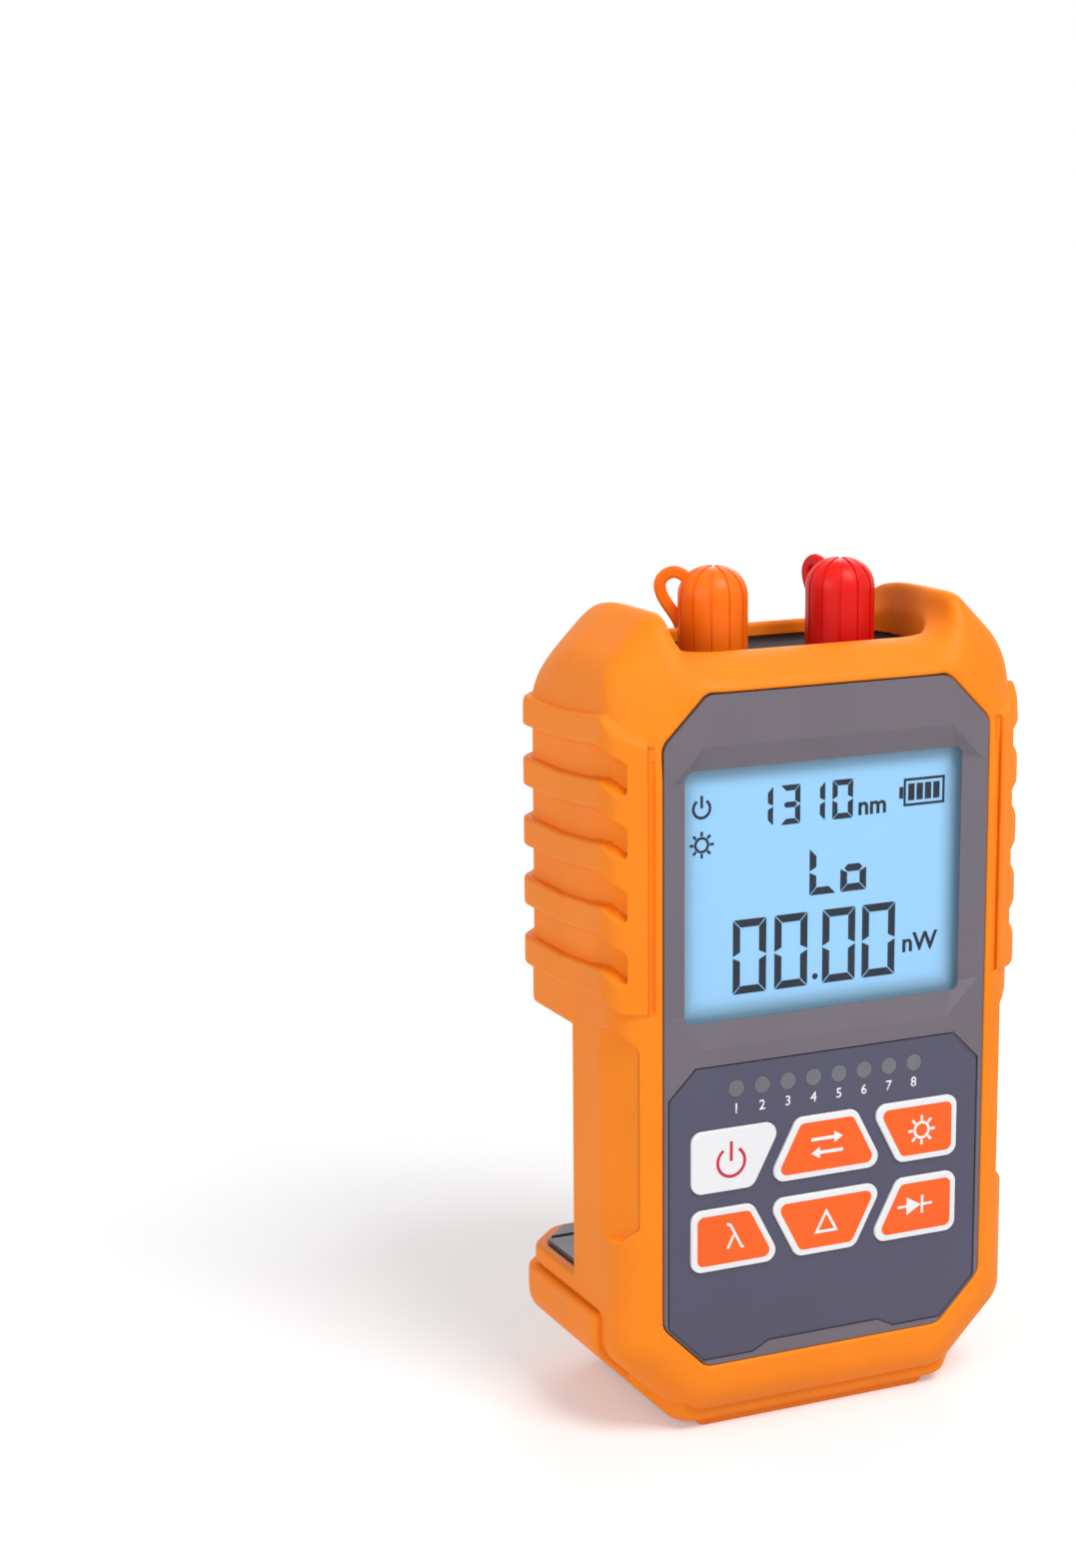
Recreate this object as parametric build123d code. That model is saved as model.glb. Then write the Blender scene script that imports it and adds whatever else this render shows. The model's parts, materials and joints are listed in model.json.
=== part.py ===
from build123d import *
import os
from math import sqrt

os.makedirs("parts", exist_ok=True)

# Handheld optical power meter, in millimetres.
# It stands on its foot, which is the plane Z = 0, and its face looks along -Y.
# While it is modelled, Y is measured back from the face. The last step centres the depth on Y = 0.

# Housing size, over the rubber boot but without its ribs
body_width = 72.0
body_depth = 42.0
body_bottom = 1.8
body_top = 132.0
lower_corner = 12.3
upper_corner = 10.9

# Bevels and rounds of the boot
front_round = 6.9
soft_round = 1.5
raised_soft_round = 1.0
brow_drop = 4.8
brow_rise = 0.858
brow_corner_drop = 24.5
brow_corner_rise = 0.76
side_back_bevel = 6.5
under_back_bevel = 5.5
ridge_back_start = 12.0
ridge_back_drop = 10.0
ridge_corner_drop = 6.4

# Boot wall and the gap to the hard shells inside it
boot_wall = 2.2
boot_gap = 0.15
seat_gap = 0.1

# Saddle between the two humps, and the port well sunk in it
hump_height = 6.0
hump_width = 11.0
saddle_root_round = 4.5
saddle_back_length = 9.5
saddle_back_drop = 2.4
well_front = 7.8
well_back_margin = 10.0
well_corner = 9.0
well_rim = 2.6
port_plate_flange = 1.0
port_plate_ledge = 1.4

# Grip ribs: their tops step down the side by one pitch
rib_count = 5
rib_pitch = 9.9
rib_drop = 15.6
rib_thickness = 5.0
rib_height = 1.2
rib_kink_depth = 6.0
rib_under_kink_depth = 7.0
rib_kink_rise = 1.2
rib_bar_fall = 0.8
bar_width = 4.5
bar_front = 0.35
bar_face_slope = 0.67
bar_back = 1.9
bar_groove_width = 0.9
bar_groove_depth = 0.6
bar_top_drop = 3.6
rib_back_width = 7.8

# Bumper round the foot of the boot, and the foot strip under it
bumper_height = 1.1
bumper_top = 19.8
bumper_front = 9.2
bumper_under_front = 2.6
bumper_turn_start = 5.0
bumper_turn_end = 12.0
foot_margin = 14.4
foot_front = 8.0
foot_back_margin = 8.0

# Thumb panel on the flanks, below the ribs
panel_top = 65.4
panel_bottom = 36.2
panel_front = 1.4
panel_bite = 0.45
panel_back = 8.4
panel_end_slope = 2.4

# Bezel, the front shell's visible face
bezel_margin = 7.0
bezel_bottom = 12.0
bezel_drop = 5.6
bezel_corner = 7.6
bezel_corner_round = 3.0
bezel_sink = 0.4
bezel_thickness = 3.0
bezel_edge_gap = 0.1
bezel_rim = 1.5

# Hard shells
shell_wall = 2.0
shell_split = 16.0

# Display window
window_side_margin = 4.15
window_height = 40.2
window_drop = 32.0
window_corner = 1.4
window_slope_depth = 1.2
window_slope_side = 3.2
window_slope_run = 3.9
window_slope_corner = 6.0
window_straight = 0.4
lens_margin = 1.9
lens_thickness = 1.2
lcd_margin = 1.4
lcd_thickness = 2.6
backlight_thickness = 2.8
frame_wall = 1.0

# Keypad label
label_margin = 1.0
label_foot = 1.1
label_height = 48.2
label_low_corner = 6.3
label_high_corner = 4.7
label_notch_half = 10.1
label_notch_slope = 2.9
label_notch_depth = 1.5
label_thickness = 0.3
label_sink = 0.15
label_edge_gap = 0.3

# Cable-test lamp windows in the label
lamp_count = 8
lamp_pitch = 4.63
lamp_drop = 3.95
lamp_diameter = 2.8

# Keys: two rows of three, with slanted gaps between them
key_margin = 3.7
key_narrow_half = 5.4
key_wide_half = 10.8
key_column_gap = 2.5
key_row_drop = 10.2
key_height = 10.3
key_row_gap = 2.7
key_corner = 1.9
key_rise = 0.45
key_travel = 0.5
key_gap = 0.12
key_flange = 0.9
key_flange_thickness = 0.8
key_face_round = 0.25

# Electronics
board_front = 9.4
board_thickness = 1.6
board_edge_gap = 1.0
mat_thickness = 1.0
mat_pad_inset = 1.6
dome_diameter = 6.0
dome_height = 0.6
lamp_body = 1.6
chip_thickness = 1.2
processor_side = 10.0
converter_side = 7.0
amplifier_side = 5.0

# Optical ports and their dust caps
port_spacing = 23.1
port_depth = 18.1
adapter_radius = 4.0
adapter_height = 7.2
adapter_flange_radius = 5.2
adapter_flange_thickness = 1.2
ferrule_bore = 1.26
ferrule_wall_radius = 2.1
ferrule_depth = 9.0
cap_radius = 5.6
cap_height = 14.3
cap_dome_round = 4.7
cap_bore_gap = 0.15
cap_bore_height = 8.0
cap_seat_gap = 0.2
cap_flutes = 12
cap_flute_depth = 0.22
cap_flute_width = 0.45
loop_reach = 3.6
loop_height = 9.6
loop_strap = 1.3
power_cap_loop_turn = 152
laser_cap_loop_turn = 100
torch_diameter = 5.0
torch_rise = 0.2
detector_radius = 2.7
detector_height = 4.2
laser_radius = 4.0
laser_floor_gap = 0.8

# Dock for the pocket test remote, open to the left and to the back
dock_bottom = 23.8
dock_top = 64.7
dock_front = 20.2
dock_depth = 23.0
dock_wall = 1.8
dock_edge_gap = 0.6
dock_rail_width = 1.2
dock_rail_depth = 0.8
dock_rail_inset = 4.0

# Network jack in the dock's inner wall
jack_width = 16.0
jack_thickness = 13.4
jack_length = 18.0
jack_mouth_width = 11.8
jack_mouth_height = 7.0
jack_mouth_depth = 13.5
jack_centre_height = 44.25
jack_back_margin = 4.6
jack_contact_count = 8
jack_contact_pitch = 1.02
jack_contact_width = 0.5

# Battery bay: three AAA cells, lying across the back
cell_diameter = 10.5
cell_length = 44.5
cell_count = 3
cell_gap = 0.35
cell_nub_radius = 1.9
cell_nub_length = 0.8
spring_length = 3.0
spring_leaf = 0.3
spring_width = 7.0
spring_leaf_height = 4.0
contact_thickness = 0.5
contact_width = 8.0
contact_height = 9.0
bay_rise = 7.5
bay_wall = 1.6
cover_thickness = 2.0
cover_margin = 1.4
cover_tab_drop = 5.2
cover_tab_half_width = 6.0
cover_corner = 1.6
cover_edge_round = 0.6
cover_head_recess = 1.4
cover_gap = 0.3
cover_screw_drop = 2.9
cover_lip = 1.2
cover_grip_count = 4
cover_grip_pitch = 2.4

# Housing screws
screw_margin = 10.5
screw_foot = 3.5
screw_drop = 4.9
screw_radius = 1.2
screw_head_radius = 2.3
screw_head_height = 1.3
screw_bite = 8.0
cover_screw_length = 9.0
boss_radius = 3.2
boss_shoulder_radius = 4.1
screw_hole_gap = 0.1

# Worked out from the sizes above
half_width = body_width / 2
saddle_height = body_top - hump_height
saddle_half_width = half_width - hump_width
saddle_back_start = body_depth - saddle_back_length
brow_start = saddle_height - brow_drop
brow_corner_start = body_top - brow_corner_drop
port_plate_top = saddle_height - well_rim
well_back = body_depth - well_back_margin
rib_first_top = body_top - rib_drop
bar_inner_edge = half_width - bar_width
rib_back_end = half_width - rib_back_width
foot_half_width = half_width - foot_margin
foot_back = body_depth - foot_back_margin
bezel_half_width = half_width - bezel_margin
bezel_top = saddle_height - bezel_drop
window_width = 2 * (bezel_half_width - window_side_margin)
window_centre = bezel_top - window_drop
label_half_width = bezel_half_width - label_margin
label_bottom = bezel_bottom + label_foot
label_top = label_bottom + label_height
lamp_height = label_top - lamp_drop
key_outer = label_half_width - key_margin
upper_row_top = label_top - key_row_drop
upper_row_bottom = upper_row_top - key_height
lower_row_top = upper_row_bottom - key_row_gap
lower_row_bottom = lower_row_top - key_height
cap_top = port_plate_top + cap_height
bay_bottom = dock_top + bay_rise
screw_spread = half_width - screw_margin
screw_low = bezel_bottom + screw_foot
screw_high = bezel_top - screw_drop
half_depth = (body_depth + rib_height) / 2
shell_inset = boot_wall + boot_gap
shell_back = body_depth - shell_inset
bezel_back = bezel_sink + bezel_thickness
window_bottom_face = bezel_sink + window_slope_depth
lens_front = window_bottom_face + window_straight
lens_back = lens_front + lens_thickness
lcd_front = lens_back + seat_gap
lcd_back = lcd_front + lcd_thickness
backlight_front = lcd_back + seat_gap
backlight_back = board_front - seat_gap
board_back = board_front + board_thickness
label_front = bezel_sink + label_sink
label_back = label_front + label_thickness
key_front = label_front - key_rise
flange_front = bezel_back + seat_gap
key_back = flange_front + key_flange_thickness
mat_front = board_front - dome_height - seat_gap - mat_thickness
port_slab_bottom = port_plate_top - shell_wall
port_plate_bottom = port_slab_bottom - seat_gap - port_plate_flange
port_x = port_spacing / 2
dock_x = -half_width + dock_depth
bay_height = cell_count * cell_diameter + (cell_count + 1) * cell_gap
bay_top = bay_bottom + bay_height
contact_half_width = (cell_length + spring_length) / 2
bay_half_width = contact_half_width + contact_thickness + seat_gap
bay_front = shell_back - cell_diameter - 2 * cell_gap
cell_depth = bay_front + cell_gap + cell_diameter / 2
cover_inner = shell_back + seat_gap
cover_outer = cover_inner + cover_thickness
cover_screw_z = bay_bottom - cover_screw_drop
cover_bottom = bay_bottom - cover_margin
cover_tab_bottom = bay_bottom - cover_tab_drop
cover_top = bay_top + cover_margin
cover_half_width = bay_half_width + cover_margin


def block(x0, x1, y0, y1, z0, z1):
    """A box between two corners."""
    centre = Pos((x0 + x1) / 2, (y0 + y1) / 2, (z0 + z1) / 2)
    return centre * Box(x1 - x0, y1 - y0, z1 - z0)


def post(x, z, radius, y0, y1):
    """A round bar along Y."""
    return Pos(x, (y0 + y1) / 2, z) * Rot(90, 0, 0) * Cylinder(radius, y1 - y0)


def pillar(x, y, radius, z0, z1):
    """A round bar along Z."""
    return Pos(x, y, (z0 + z1) / 2) * Cylinder(radius, z1 - z0)


def face_prism(outline, y0, y1):
    """An outline drawn in X and Z, as seen from the front, between two depths."""
    return extrude(Plane.XZ.offset(-y1) * outline, y1 - y0)


def flank_prism(points, reach):
    """An outline drawn in depth and height, as seen from the side, through both flanks."""
    return extrude(Plane.YZ * make_face(Polyline(*points, close=True)), reach, both=True)


def plan_prism(outline, z0, z1):
    """An outline drawn in X and Y, as seen from above, between two heights."""
    return extrude(Plane.XY.offset(z0) * outline, z1 - z0)


def cut_corner_outline(half, low, high, low_corner, high_corner):
    """An upright rectangle with its four corners cut at 45 degrees."""
    return Polygon(
        (-half + low_corner, low), (half - low_corner, low), (half, low + low_corner), (half, high - high_corner),
        (half - high_corner, high), (-half + high_corner, high), (-half, high - high_corner),
        (-half, low + low_corner), align=None,
    )


def housing_planes():
    """Point and outward direction of each bevel of the housing."""
    planes = [
        (Vector(0, 0, brow_start), Vector(0, -brow_rise, 1)),
        (Vector(0, body_depth - ridge_back_start, body_top), Vector(0, ridge_back_drop, ridge_back_start)),
        (Vector(0, body_depth - under_back_bevel, body_bottom), Vector(0, 1, -1)),
    ]
    for side in (-1, 1):
        low = Vector(side, 0, -1).normalized()
        high = Vector(side, 0, 1).normalized()
        low_point = Vector(side * half_width, 0, body_bottom + lower_corner)
        high_point = Vector(side * half_width, 0, body_top - upper_corner)
        planes += [
            (low_point, low),
            (high_point, high),
            (Vector(side * half_width, 0, brow_corner_start), high - Vector(0, brow_corner_rise, 0)),
            (high_point + Vector(0, body_depth - ridge_back_start, 0),
             high * ridge_back_start + Vector(0, ridge_corner_drop, 0)),
            (low_point + Vector(0, body_depth - under_back_bevel, 0), low + Vector(0, 1, 0)),
            (Vector(side * half_width, body_depth - side_back_bevel, 0), Vector(side, 1, 0)),
        ]
    return planes


def housing_form(grow, softening=soft_round):
    """The whole housing as one convex solid, with every surface moved out by grow."""
    form = block(
        -half_width - grow, half_width + grow, -grow, body_depth + grow, body_bottom - grow, body_top + grow
    )
    for point, direction in housing_planes():
        normal = direction.normalized()
        form = split(form, bisect_by=Plane(origin=point + normal * grow, z_dir=normal), keep=Keep.BOTTOM)
    lower_front = [
        edge for edge in form.edges()
        if abs((edge @ 0).Y + grow) < 0.01 and abs((edge @ 1).Y + grow) < 0.01
        and max((edge @ 0).Z, (edge @ 1).Z) < brow_corner_start + 2 * abs(grow) + 1
    ]
    form = fillet(lower_front, front_round + grow)
    if softening:
        form = fillet(form.edges().filter_by(GeomType.LINE), softening)
    return form


def rib_top(index):
    return rib_first_top - index * rib_pitch


def grips():
    """The raised ribs that run round each flank, joined by an upright bar near the front."""
    skin = housing_form(rib_height, raised_soft_round)
    last_bottom = rib_top(rib_count - 1) - rib_thickness
    bar_end = last_bottom - rib_bar_fall
    field = flank_prism(
        [
            (-rib_height, rib_first_top - bar_top_drop - rib_kink_rise),
            (0, rib_first_top - bar_top_drop),
            (rib_kink_depth, rib_first_top + rib_kink_rise),
            (body_depth / 2, rib_first_top),
            (body_depth * 2, rib_first_top),
            (body_depth * 2, last_bottom),
            (body_depth / 2, last_bottom),
            (rib_under_kink_depth, last_bottom + rib_kink_rise),
            (bar_back, bar_end),
            (-rib_height, bar_end),
        ],
        body_width,
    )
    raised = skin & field
    raised -= block(-bar_inner_edge, bar_inner_edge, -body_depth, body_depth / 2, 0, body_top * 2)
    raised -= block(-rib_back_end, rib_back_end, 0, body_depth * 2, 0, body_top * 2)
    for side in (-1, 1):
        front_face = Plane(origin=(side * bar_inner_edge, bar_front, 0), z_dir=(-side * bar_face_slope, 1, 0))
        raised = split(raised, bisect_by=front_face, keep=Keep.TOP)
    for index in range(rib_count - 1):
        upper = rib_top(index) - rib_thickness
        lower = rib_top(index + 1)
        raised -= flank_prism(
            [
                (bar_back, upper - rib_bar_fall),
                (rib_under_kink_depth, upper + rib_kink_rise),
                (body_depth / 2, upper),
                (body_depth * 2, upper),
                (body_depth * 2, lower),
                (body_depth / 2, lower),
                (rib_kink_depth, lower + rib_kink_rise),
                (bar_back, lower - rib_bar_fall),
            ],
            body_width,
        )
    return raised


def bar_grooves():
    """The narrow groove that sets each upright bar off from the face."""
    top = rib_first_top - bar_top_drop
    bottom = rib_top(rib_count - 1) - rib_thickness
    groove = block(
        bar_inner_edge - bar_groove_width, bar_inner_edge, -body_depth, bar_front + bar_groove_depth, bottom, top
    )
    return [groove, mirror(groove, about=Plane.YZ)]


def bumper():
    """The thicker band of rubber round the foot of the boot."""
    far = body_width
    deep = body_depth * 2
    outer = half_width - bumper_turn_start
    inner = half_width - bumper_turn_end
    outline = make_face(Polyline(
        (-far, bumper_front), (-outer, bumper_front), (-inner, bumper_under_front),
        (inner, bumper_under_front), (outer, bumper_front), (far, bumper_front),
        (far, deep), (-far, deep), close=True,
    ))
    return housing_form(bumper_height, raised_soft_round) & plan_prism(outline, -body_bottom, bumper_top)


def saddle():
    """The cut that leaves a hump at each side of the ports."""
    outline = Pos(0, saddle_height) * Rectangle(
        2 * saddle_half_width, 2 * upper_corner, align=(Align.CENTER, Align.MIN)
    )
    outline = fillet(outline.vertices().group_by(Axis.Y)[0], saddle_root_round)
    cut = face_prism(outline, -body_depth, body_depth * 2)
    reach = body_depth
    slope = saddle_back_drop / (body_depth - saddle_back_start)
    behind = extrude(
        Plane.YZ * make_face(Polyline(
            (saddle_back_start, saddle_height), (saddle_back_start + reach, saddle_height - slope * reach),
            (saddle_back_start + reach, saddle_height + 1), (saddle_back_start, saddle_height + 1), close=True,
        )),
        saddle_half_width - saddle_root_round, both=True,
    )
    return cut + behind


def well_outline(grow):
    """The port well in plan."""
    width = 2 * (saddle_half_width + grow)
    depth = well_back - well_front + 2 * grow
    return Pos(0, (well_front + well_back) / 2) * RectangleRounded(width, depth, well_corner + grow)


def shell_space(grow):
    """The space inside the boot that the hard shells fill."""
    space = housing_form(-shell_inset + grow, softening=0)
    return space & block(-body_width, body_width, -body_depth, 2 * body_depth, 0, port_plate_top + grow)


def dock_space(grow=0.0):
    """The dock's hollow, reaching out past the left flank and the back."""
    return block(
        -body_width, dock_x + grow, dock_front - grow, 2 * body_depth, dock_bottom - grow, dock_top + grow
    )


def bezel_outline(grow=0.0):
    outline = cut_corner_outline(
        bezel_half_width + grow, bezel_bottom - grow, bezel_top + grow, bezel_corner, bezel_corner
    )
    return fillet(outline.vertices(), bezel_corner_round)


def thumb_panels():
    """The flat taken off the rounded front corner of each flank, below the ribs."""
    band = flank_prism(
        [
            (panel_front, panel_bottom), (panel_front, panel_top),
            (panel_front + panel_end_slope, panel_top + panel_end_slope),
            (panel_back, panel_top + panel_end_slope), (panel_back, panel_bottom - panel_end_slope),
            (panel_front + panel_end_slope, panel_bottom - panel_end_slope),
        ],
        body_width,
    )
    inset = front_round - sqrt(front_round**2 - (front_round - panel_front) ** 2)
    start_x = half_width - inset - panel_bite
    panels = []
    for side in (-1, 1):
        start = Vector(side * start_x, panel_front, 0)
        end = Vector(side * half_width, panel_back, 0)
        run = end - start
        outward = Vector(side * run.Y, -side * run.X, 0).normalized()
        panels.append(split(band, bisect_by=Plane(origin=start, z_dir=outward), keep=Keep.TOP))
    return [
        panels[0] & block(-body_width, 0, -1, body_depth, 0, body_top),
        panels[1] & block(0, body_width, -1, body_depth, 0, body_top),
    ]


def boot():
    """The one-piece rubber boot."""
    body = housing_form(0)
    body += grips()
    body += bumper()
    body += block(-foot_half_width, foot_half_width, foot_front, foot_back, 0, body_bottom + boot_wall / 2)
    for cut in thumb_panels() + bar_grooves():
        body -= cut
    body -= saddle()
    body -= plan_prism(well_outline(0), port_plate_top, body_top * 2)
    body -= shell_space(boot_gap)
    body -= face_prism(bezel_outline(bezel_edge_gap), -body_depth, bezel_back)
    body -= dock_space(dock_edge_gap)
    body -= face_prism(cover_outline(cover_gap), shell_back, body_depth * 2)
    return body


def screw_places():
    return [(side * screw_spread, z) for z in (screw_low, screw_high) for side in (-1, 1)]


def key_outline(name, grow=0.0):
    """One key seen from the front. A key is a rectangle with one or two slanted sides."""
    narrow = key_narrow_half
    wide = key_wide_half
    gap = key_column_gap
    top_row = name in ("power_key", "unit_key", "light_key")
    high = upper_row_top if top_row else lower_row_top
    low = upper_row_bottom if top_row else lower_row_bottom
    half_high, half_low = (narrow, wide) if top_row else (wide, narrow)
    if name in ("unit_key", "reference_key"):
        corners = [(-half_low, low), (half_low, low), (half_high, high), (-half_high, high)]
    else:
        side = -1 if name in ("power_key", "wavelength_key") else 1
        corners = [
            (side * (half_low + gap), low), (side * key_outer, low),
            (side * key_outer, high), (side * (half_high + gap), high),
        ]
        if side < 0:
            corners.reverse()
    outline = fillet(make_face(Polyline(*corners, close=True)).vertices(), key_corner)
    if grow:
        outline = offset(outline, amount=grow, kind=Kind.ARC)
    return outline


key_names = ["power_key", "unit_key", "light_key", "wavelength_key", "reference_key", "led_key"]


def lamp_places():
    first = -(lamp_count - 1) * lamp_pitch / 2
    return [first + index * lamp_pitch for index in range(lamp_count)]


def front_shell():
    """The grey front half: bezel, window frame and the walls behind them."""
    reach = -body_depth
    skin = shell_space(0) - shell_space(-shell_wall)
    skin &= block(-body_width, body_width, reach, shell_split, 0, body_top)
    skin -= face_prism(bezel_outline(-bezel_rim), reach, shell_inset + 2 * shell_wall)
    shell = skin + face_prism(bezel_outline(), bezel_sink, bezel_back)
    for x, z in screw_places():
        shell += post(x, z, boss_radius, bezel_sink + shell_wall, shell_split) & shell_space(0)
        shell += post(x, z, boss_shoulder_radius, bezel_sink + shell_wall, board_front - seat_gap / 2) & shell_space(0)
    window = Pos(0, window_centre) * RectangleRounded(window_width, window_height, window_corner)
    shell -= face_prism(window, reach, body_depth / 2)
    outer = Pos(0, window_centre) * cut_corner_outline(
        window_width / 2 + window_slope_side, -window_height / 2 - window_slope_run,
        window_height / 2 + window_slope_run, window_slope_corner, window_slope_corner,
    )
    inner = Pos(0, window_centre) * cut_corner_outline(
        window_width / 2, -window_height / 2, window_height / 2, window_corner, window_corner
    )
    slope = loft(
        [Plane.XZ.offset(-bezel_sink) * outer, Plane.XZ.offset(-window_bottom_face) * inner], ruled=True
    )
    shell -= slope
    pocket = Pos(0, window_centre) * Rectangle(
        window_width + 2 * (lens_margin + seat_gap), window_height + 2 * (lens_margin + seat_gap)
    )
    shell -= face_prism(pocket, lens_front, body_depth / 3)
    shell -= plan_prism(well_outline(seat_gap), port_slab_bottom - 1, body_top)
    shell -= face_prism(label_outline(label_edge_gap), reach, label_back)
    for name in key_names:
        shell -= face_prism(key_outline(name, key_gap), reach, body_depth / 3)
    for x in lamp_places():
        shell -= post(x, lamp_height, lamp_diameter / 2 + seat_gap, reach, body_depth / 3)
    for x, z in screw_places():
        shell -= post(x, z, screw_radius, bezel_back + 1.0, shell_split * 2)
    return shell


def label_outline(grow=0.0):
    """The keypad label: a cut-cornered field with a shallow notch in its lower edge."""
    field = cut_corner_outline(
        label_half_width + grow, label_bottom - grow, label_top + grow, label_low_corner, label_high_corner
    )
    foot = label_bottom - grow - 1
    notch_top = label_bottom + label_notch_depth - grow
    notch = make_face(Polyline(
        (-label_notch_half - label_notch_slope, foot), (-label_notch_half - label_notch_slope, label_bottom - grow),
        (-label_notch_half, notch_top), (label_notch_half, notch_top),
        (label_notch_half + label_notch_slope, label_bottom - grow), (label_notch_half + label_notch_slope, foot),
        close=True,
    ))
    return field - notch


def keypad_label():
    label = face_prism(label_outline(), label_front, label_back - 0.02)
    for name in key_names:
        label -= face_prism(key_outline(name, key_gap), 0, bezel_back)
    for x in lamp_places():
        label -= post(x, lamp_height, lamp_diameter / 2 + seat_gap / 2, 0, bezel_back)
    return label


def lamp_guide():
    """Clear strip behind the label, with one stub that fills each lamp window."""
    half = (lamp_count - 1) * lamp_pitch / 2 + lamp_diameter
    guide = block(
        -half, half, bezel_back + seat_gap, bezel_back + seat_gap + 1.2,
        lamp_height - lamp_diameter, lamp_height + lamp_diameter,
    )
    for x in lamp_places():
        guide += post(x, lamp_height, lamp_diameter / 2, label_front, bezel_back + seat_gap + 0.5)
    return guide


def key(name):
    """A key cap with the flange that keeps it behind the bezel."""
    cap = face_prism(key_outline(name), key_front, key_back)
    cap = fillet(cap.faces().sort_by(Axis.Y)[0].edges(), key_face_round)
    return cap + face_prism(key_outline(name, key_flange), flange_front, key_back)


def key_mat():
    """Silicone mat under the keys, with one soft pad behind each."""
    mat = block(-key_outer - 1, key_outer + 1, mat_front, mat_front + mat_thickness,
                lower_row_bottom - 1, upper_row_top + 1)
    for name in key_names:
        pad = key_outline(name, -mat_pad_inset)
        mat += face_prism(pad, key_back + key_travel + seat_gap, mat_front + mat_thickness / 2)
    return mat


def key_centre(name):
    return key_outline(name).center()


def dome_switches():
    """A snap dome on the board behind each key."""
    domes = []
    sphere_radius = ((dome_diameter / 2) ** 2 + dome_height**2) / (2 * dome_height)
    for name in key_names:
        centre = key_centre(name)
        ball = Pos(centre.X, board_front - dome_height + sphere_radius, centre.Y) * Sphere(sphere_radius)
        domes.append(ball & post(centre.X, centre.Y, dome_diameter, 0, board_front))
    return Compound(domes)


def display_lens():
    outline = Pos(0, window_centre) * RectangleRounded(
        window_width + 2 * lens_margin, window_height + 2 * lens_margin, window_corner
    )
    return face_prism(outline, lens_front, lens_back)


def display_sheet(margin, y0, y1):
    return block(
        -window_width / 2 - margin, window_width / 2 + margin, y0, y1,
        window_centre - window_height / 2 - margin, window_centre + window_height / 2 + margin,
    )


def display_frame():
    """The clip frame that holds glass and backlight on the board."""
    outer = display_sheet(lcd_margin + seat_gap + frame_wall, bezel_back + seat_gap, backlight_back)
    return outer - display_sheet(lcd_margin + seat_gap, 0, body_depth)


def main_board():
    space = shell_space(-shell_wall - board_edge_gap)
    board = space & block(
        -body_width, body_width, board_front, board_back, 0, port_plate_bottom - board_edge_gap
    )
    for x, z in screw_places():
        board -= post(x, z, boss_radius + seat_gap, 0, body_depth)
    return board


def board_chips():
    """The larger packages on the back of the board: processor, converter and amplifier."""
    places = [
        (screw_spread / 2, (lower_row_top + upper_row_bottom) / 2, processor_side),
        (screw_spread / 2, window_centre, converter_side),
        (-port_x, bay_top + bay_wall + chip_thickness, amplifier_side),
    ]
    return Compound([
        block(x - side / 2, x + side / 2, board_back, board_back + chip_thickness, z - side / 2, z + side / 2)
        for x, z, side in places
    ])


def test_lamps():
    """A small lamp on the board behind each window."""
    return Compound([
        block(x - lamp_body / 2, x + lamp_body / 2, board_front - 0.8, board_front,
              lamp_height - lamp_body / 2, lamp_height + lamp_body / 2)
        for x in lamp_places()
    ])


def rear_shell():
    """The grey rear half, with the dock and the battery bay formed in it."""
    inner = shell_space(-shell_wall)
    outer = shell_space(0)
    solid = outer - inner
    solid += outer & (dock_space(dock_wall) & block(-body_width, body_width, 0, body_depth, 0, body_top))
    solid += outer & block(
        -bay_half_width - bay_wall, bay_half_width + bay_wall, bay_front - bay_wall, body_depth,
        bay_bottom - bay_wall, bay_top + bay_wall,
    )
    solid += post(0, cover_screw_z, boss_radius, bay_front - bay_wall, shell_back)
    for x, z in screw_places():
        solid += post(x, z, boss_radius, shell_split, shell_back) & outer
    solid &= block(-body_width, body_width, shell_split + seat_gap / 2, shell_back, 0, body_top)
    solid -= plan_prism(well_outline(seat_gap), port_slab_bottom - 1, body_top)
    solid -= dock_space()
    solid -= block(-bay_half_width, bay_half_width, bay_front, body_depth, bay_bottom, bay_top)
    solid -= jack_block(seat_gap)
    solid -= post(0, cover_screw_z, screw_radius + screw_hole_gap, bay_front, body_depth)
    for x, z in screw_places():
        solid -= post(x, z, screw_radius + screw_hole_gap, 0, body_depth)
        head_seat = shell_back - screw_head_height - seat_gap
        solid -= post(x, z, screw_head_radius + screw_hole_gap, head_seat, body_depth)
    for z in (dock_bottom - dock_rail_depth, dock_top):
        y = body_depth - shell_inset - dock_rail_inset
        solid -= block(-body_width, dock_x - dock_rail_inset, y - dock_rail_width, y, z, z + dock_rail_depth)
    return solid


def jack_centre_depth():
    return body_depth - jack_back_margin - jack_thickness / 2


def jack_block(grow=0.0):
    y = jack_centre_depth()
    return block(
        dock_x, dock_x + jack_length + grow, y - jack_thickness / 2 - grow, y + jack_thickness / 2 + grow,
        jack_centre_height - jack_width / 2 - grow, jack_centre_height + jack_width / 2 + grow,
    )


def network_jack():
    """Eight-way modular jack, with the latch slot on the side of its mouth."""
    y = jack_centre_depth()
    mouth_front = y - jack_mouth_height / 2
    body = jack_block()
    body -= block(
        dock_x - 1, dock_x + jack_mouth_depth, mouth_front, mouth_front + jack_mouth_height,
        jack_centre_height - jack_mouth_width / 2, jack_centre_height + jack_mouth_width / 2,
    )
    body -= block(
        dock_x - 1, dock_x + jack_mouth_depth / 2, mouth_front + jack_mouth_height,
        mouth_front + jack_mouth_height + 1.6, jack_centre_height - 3.2, jack_centre_height + 3.2,
    )
    return body


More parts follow.
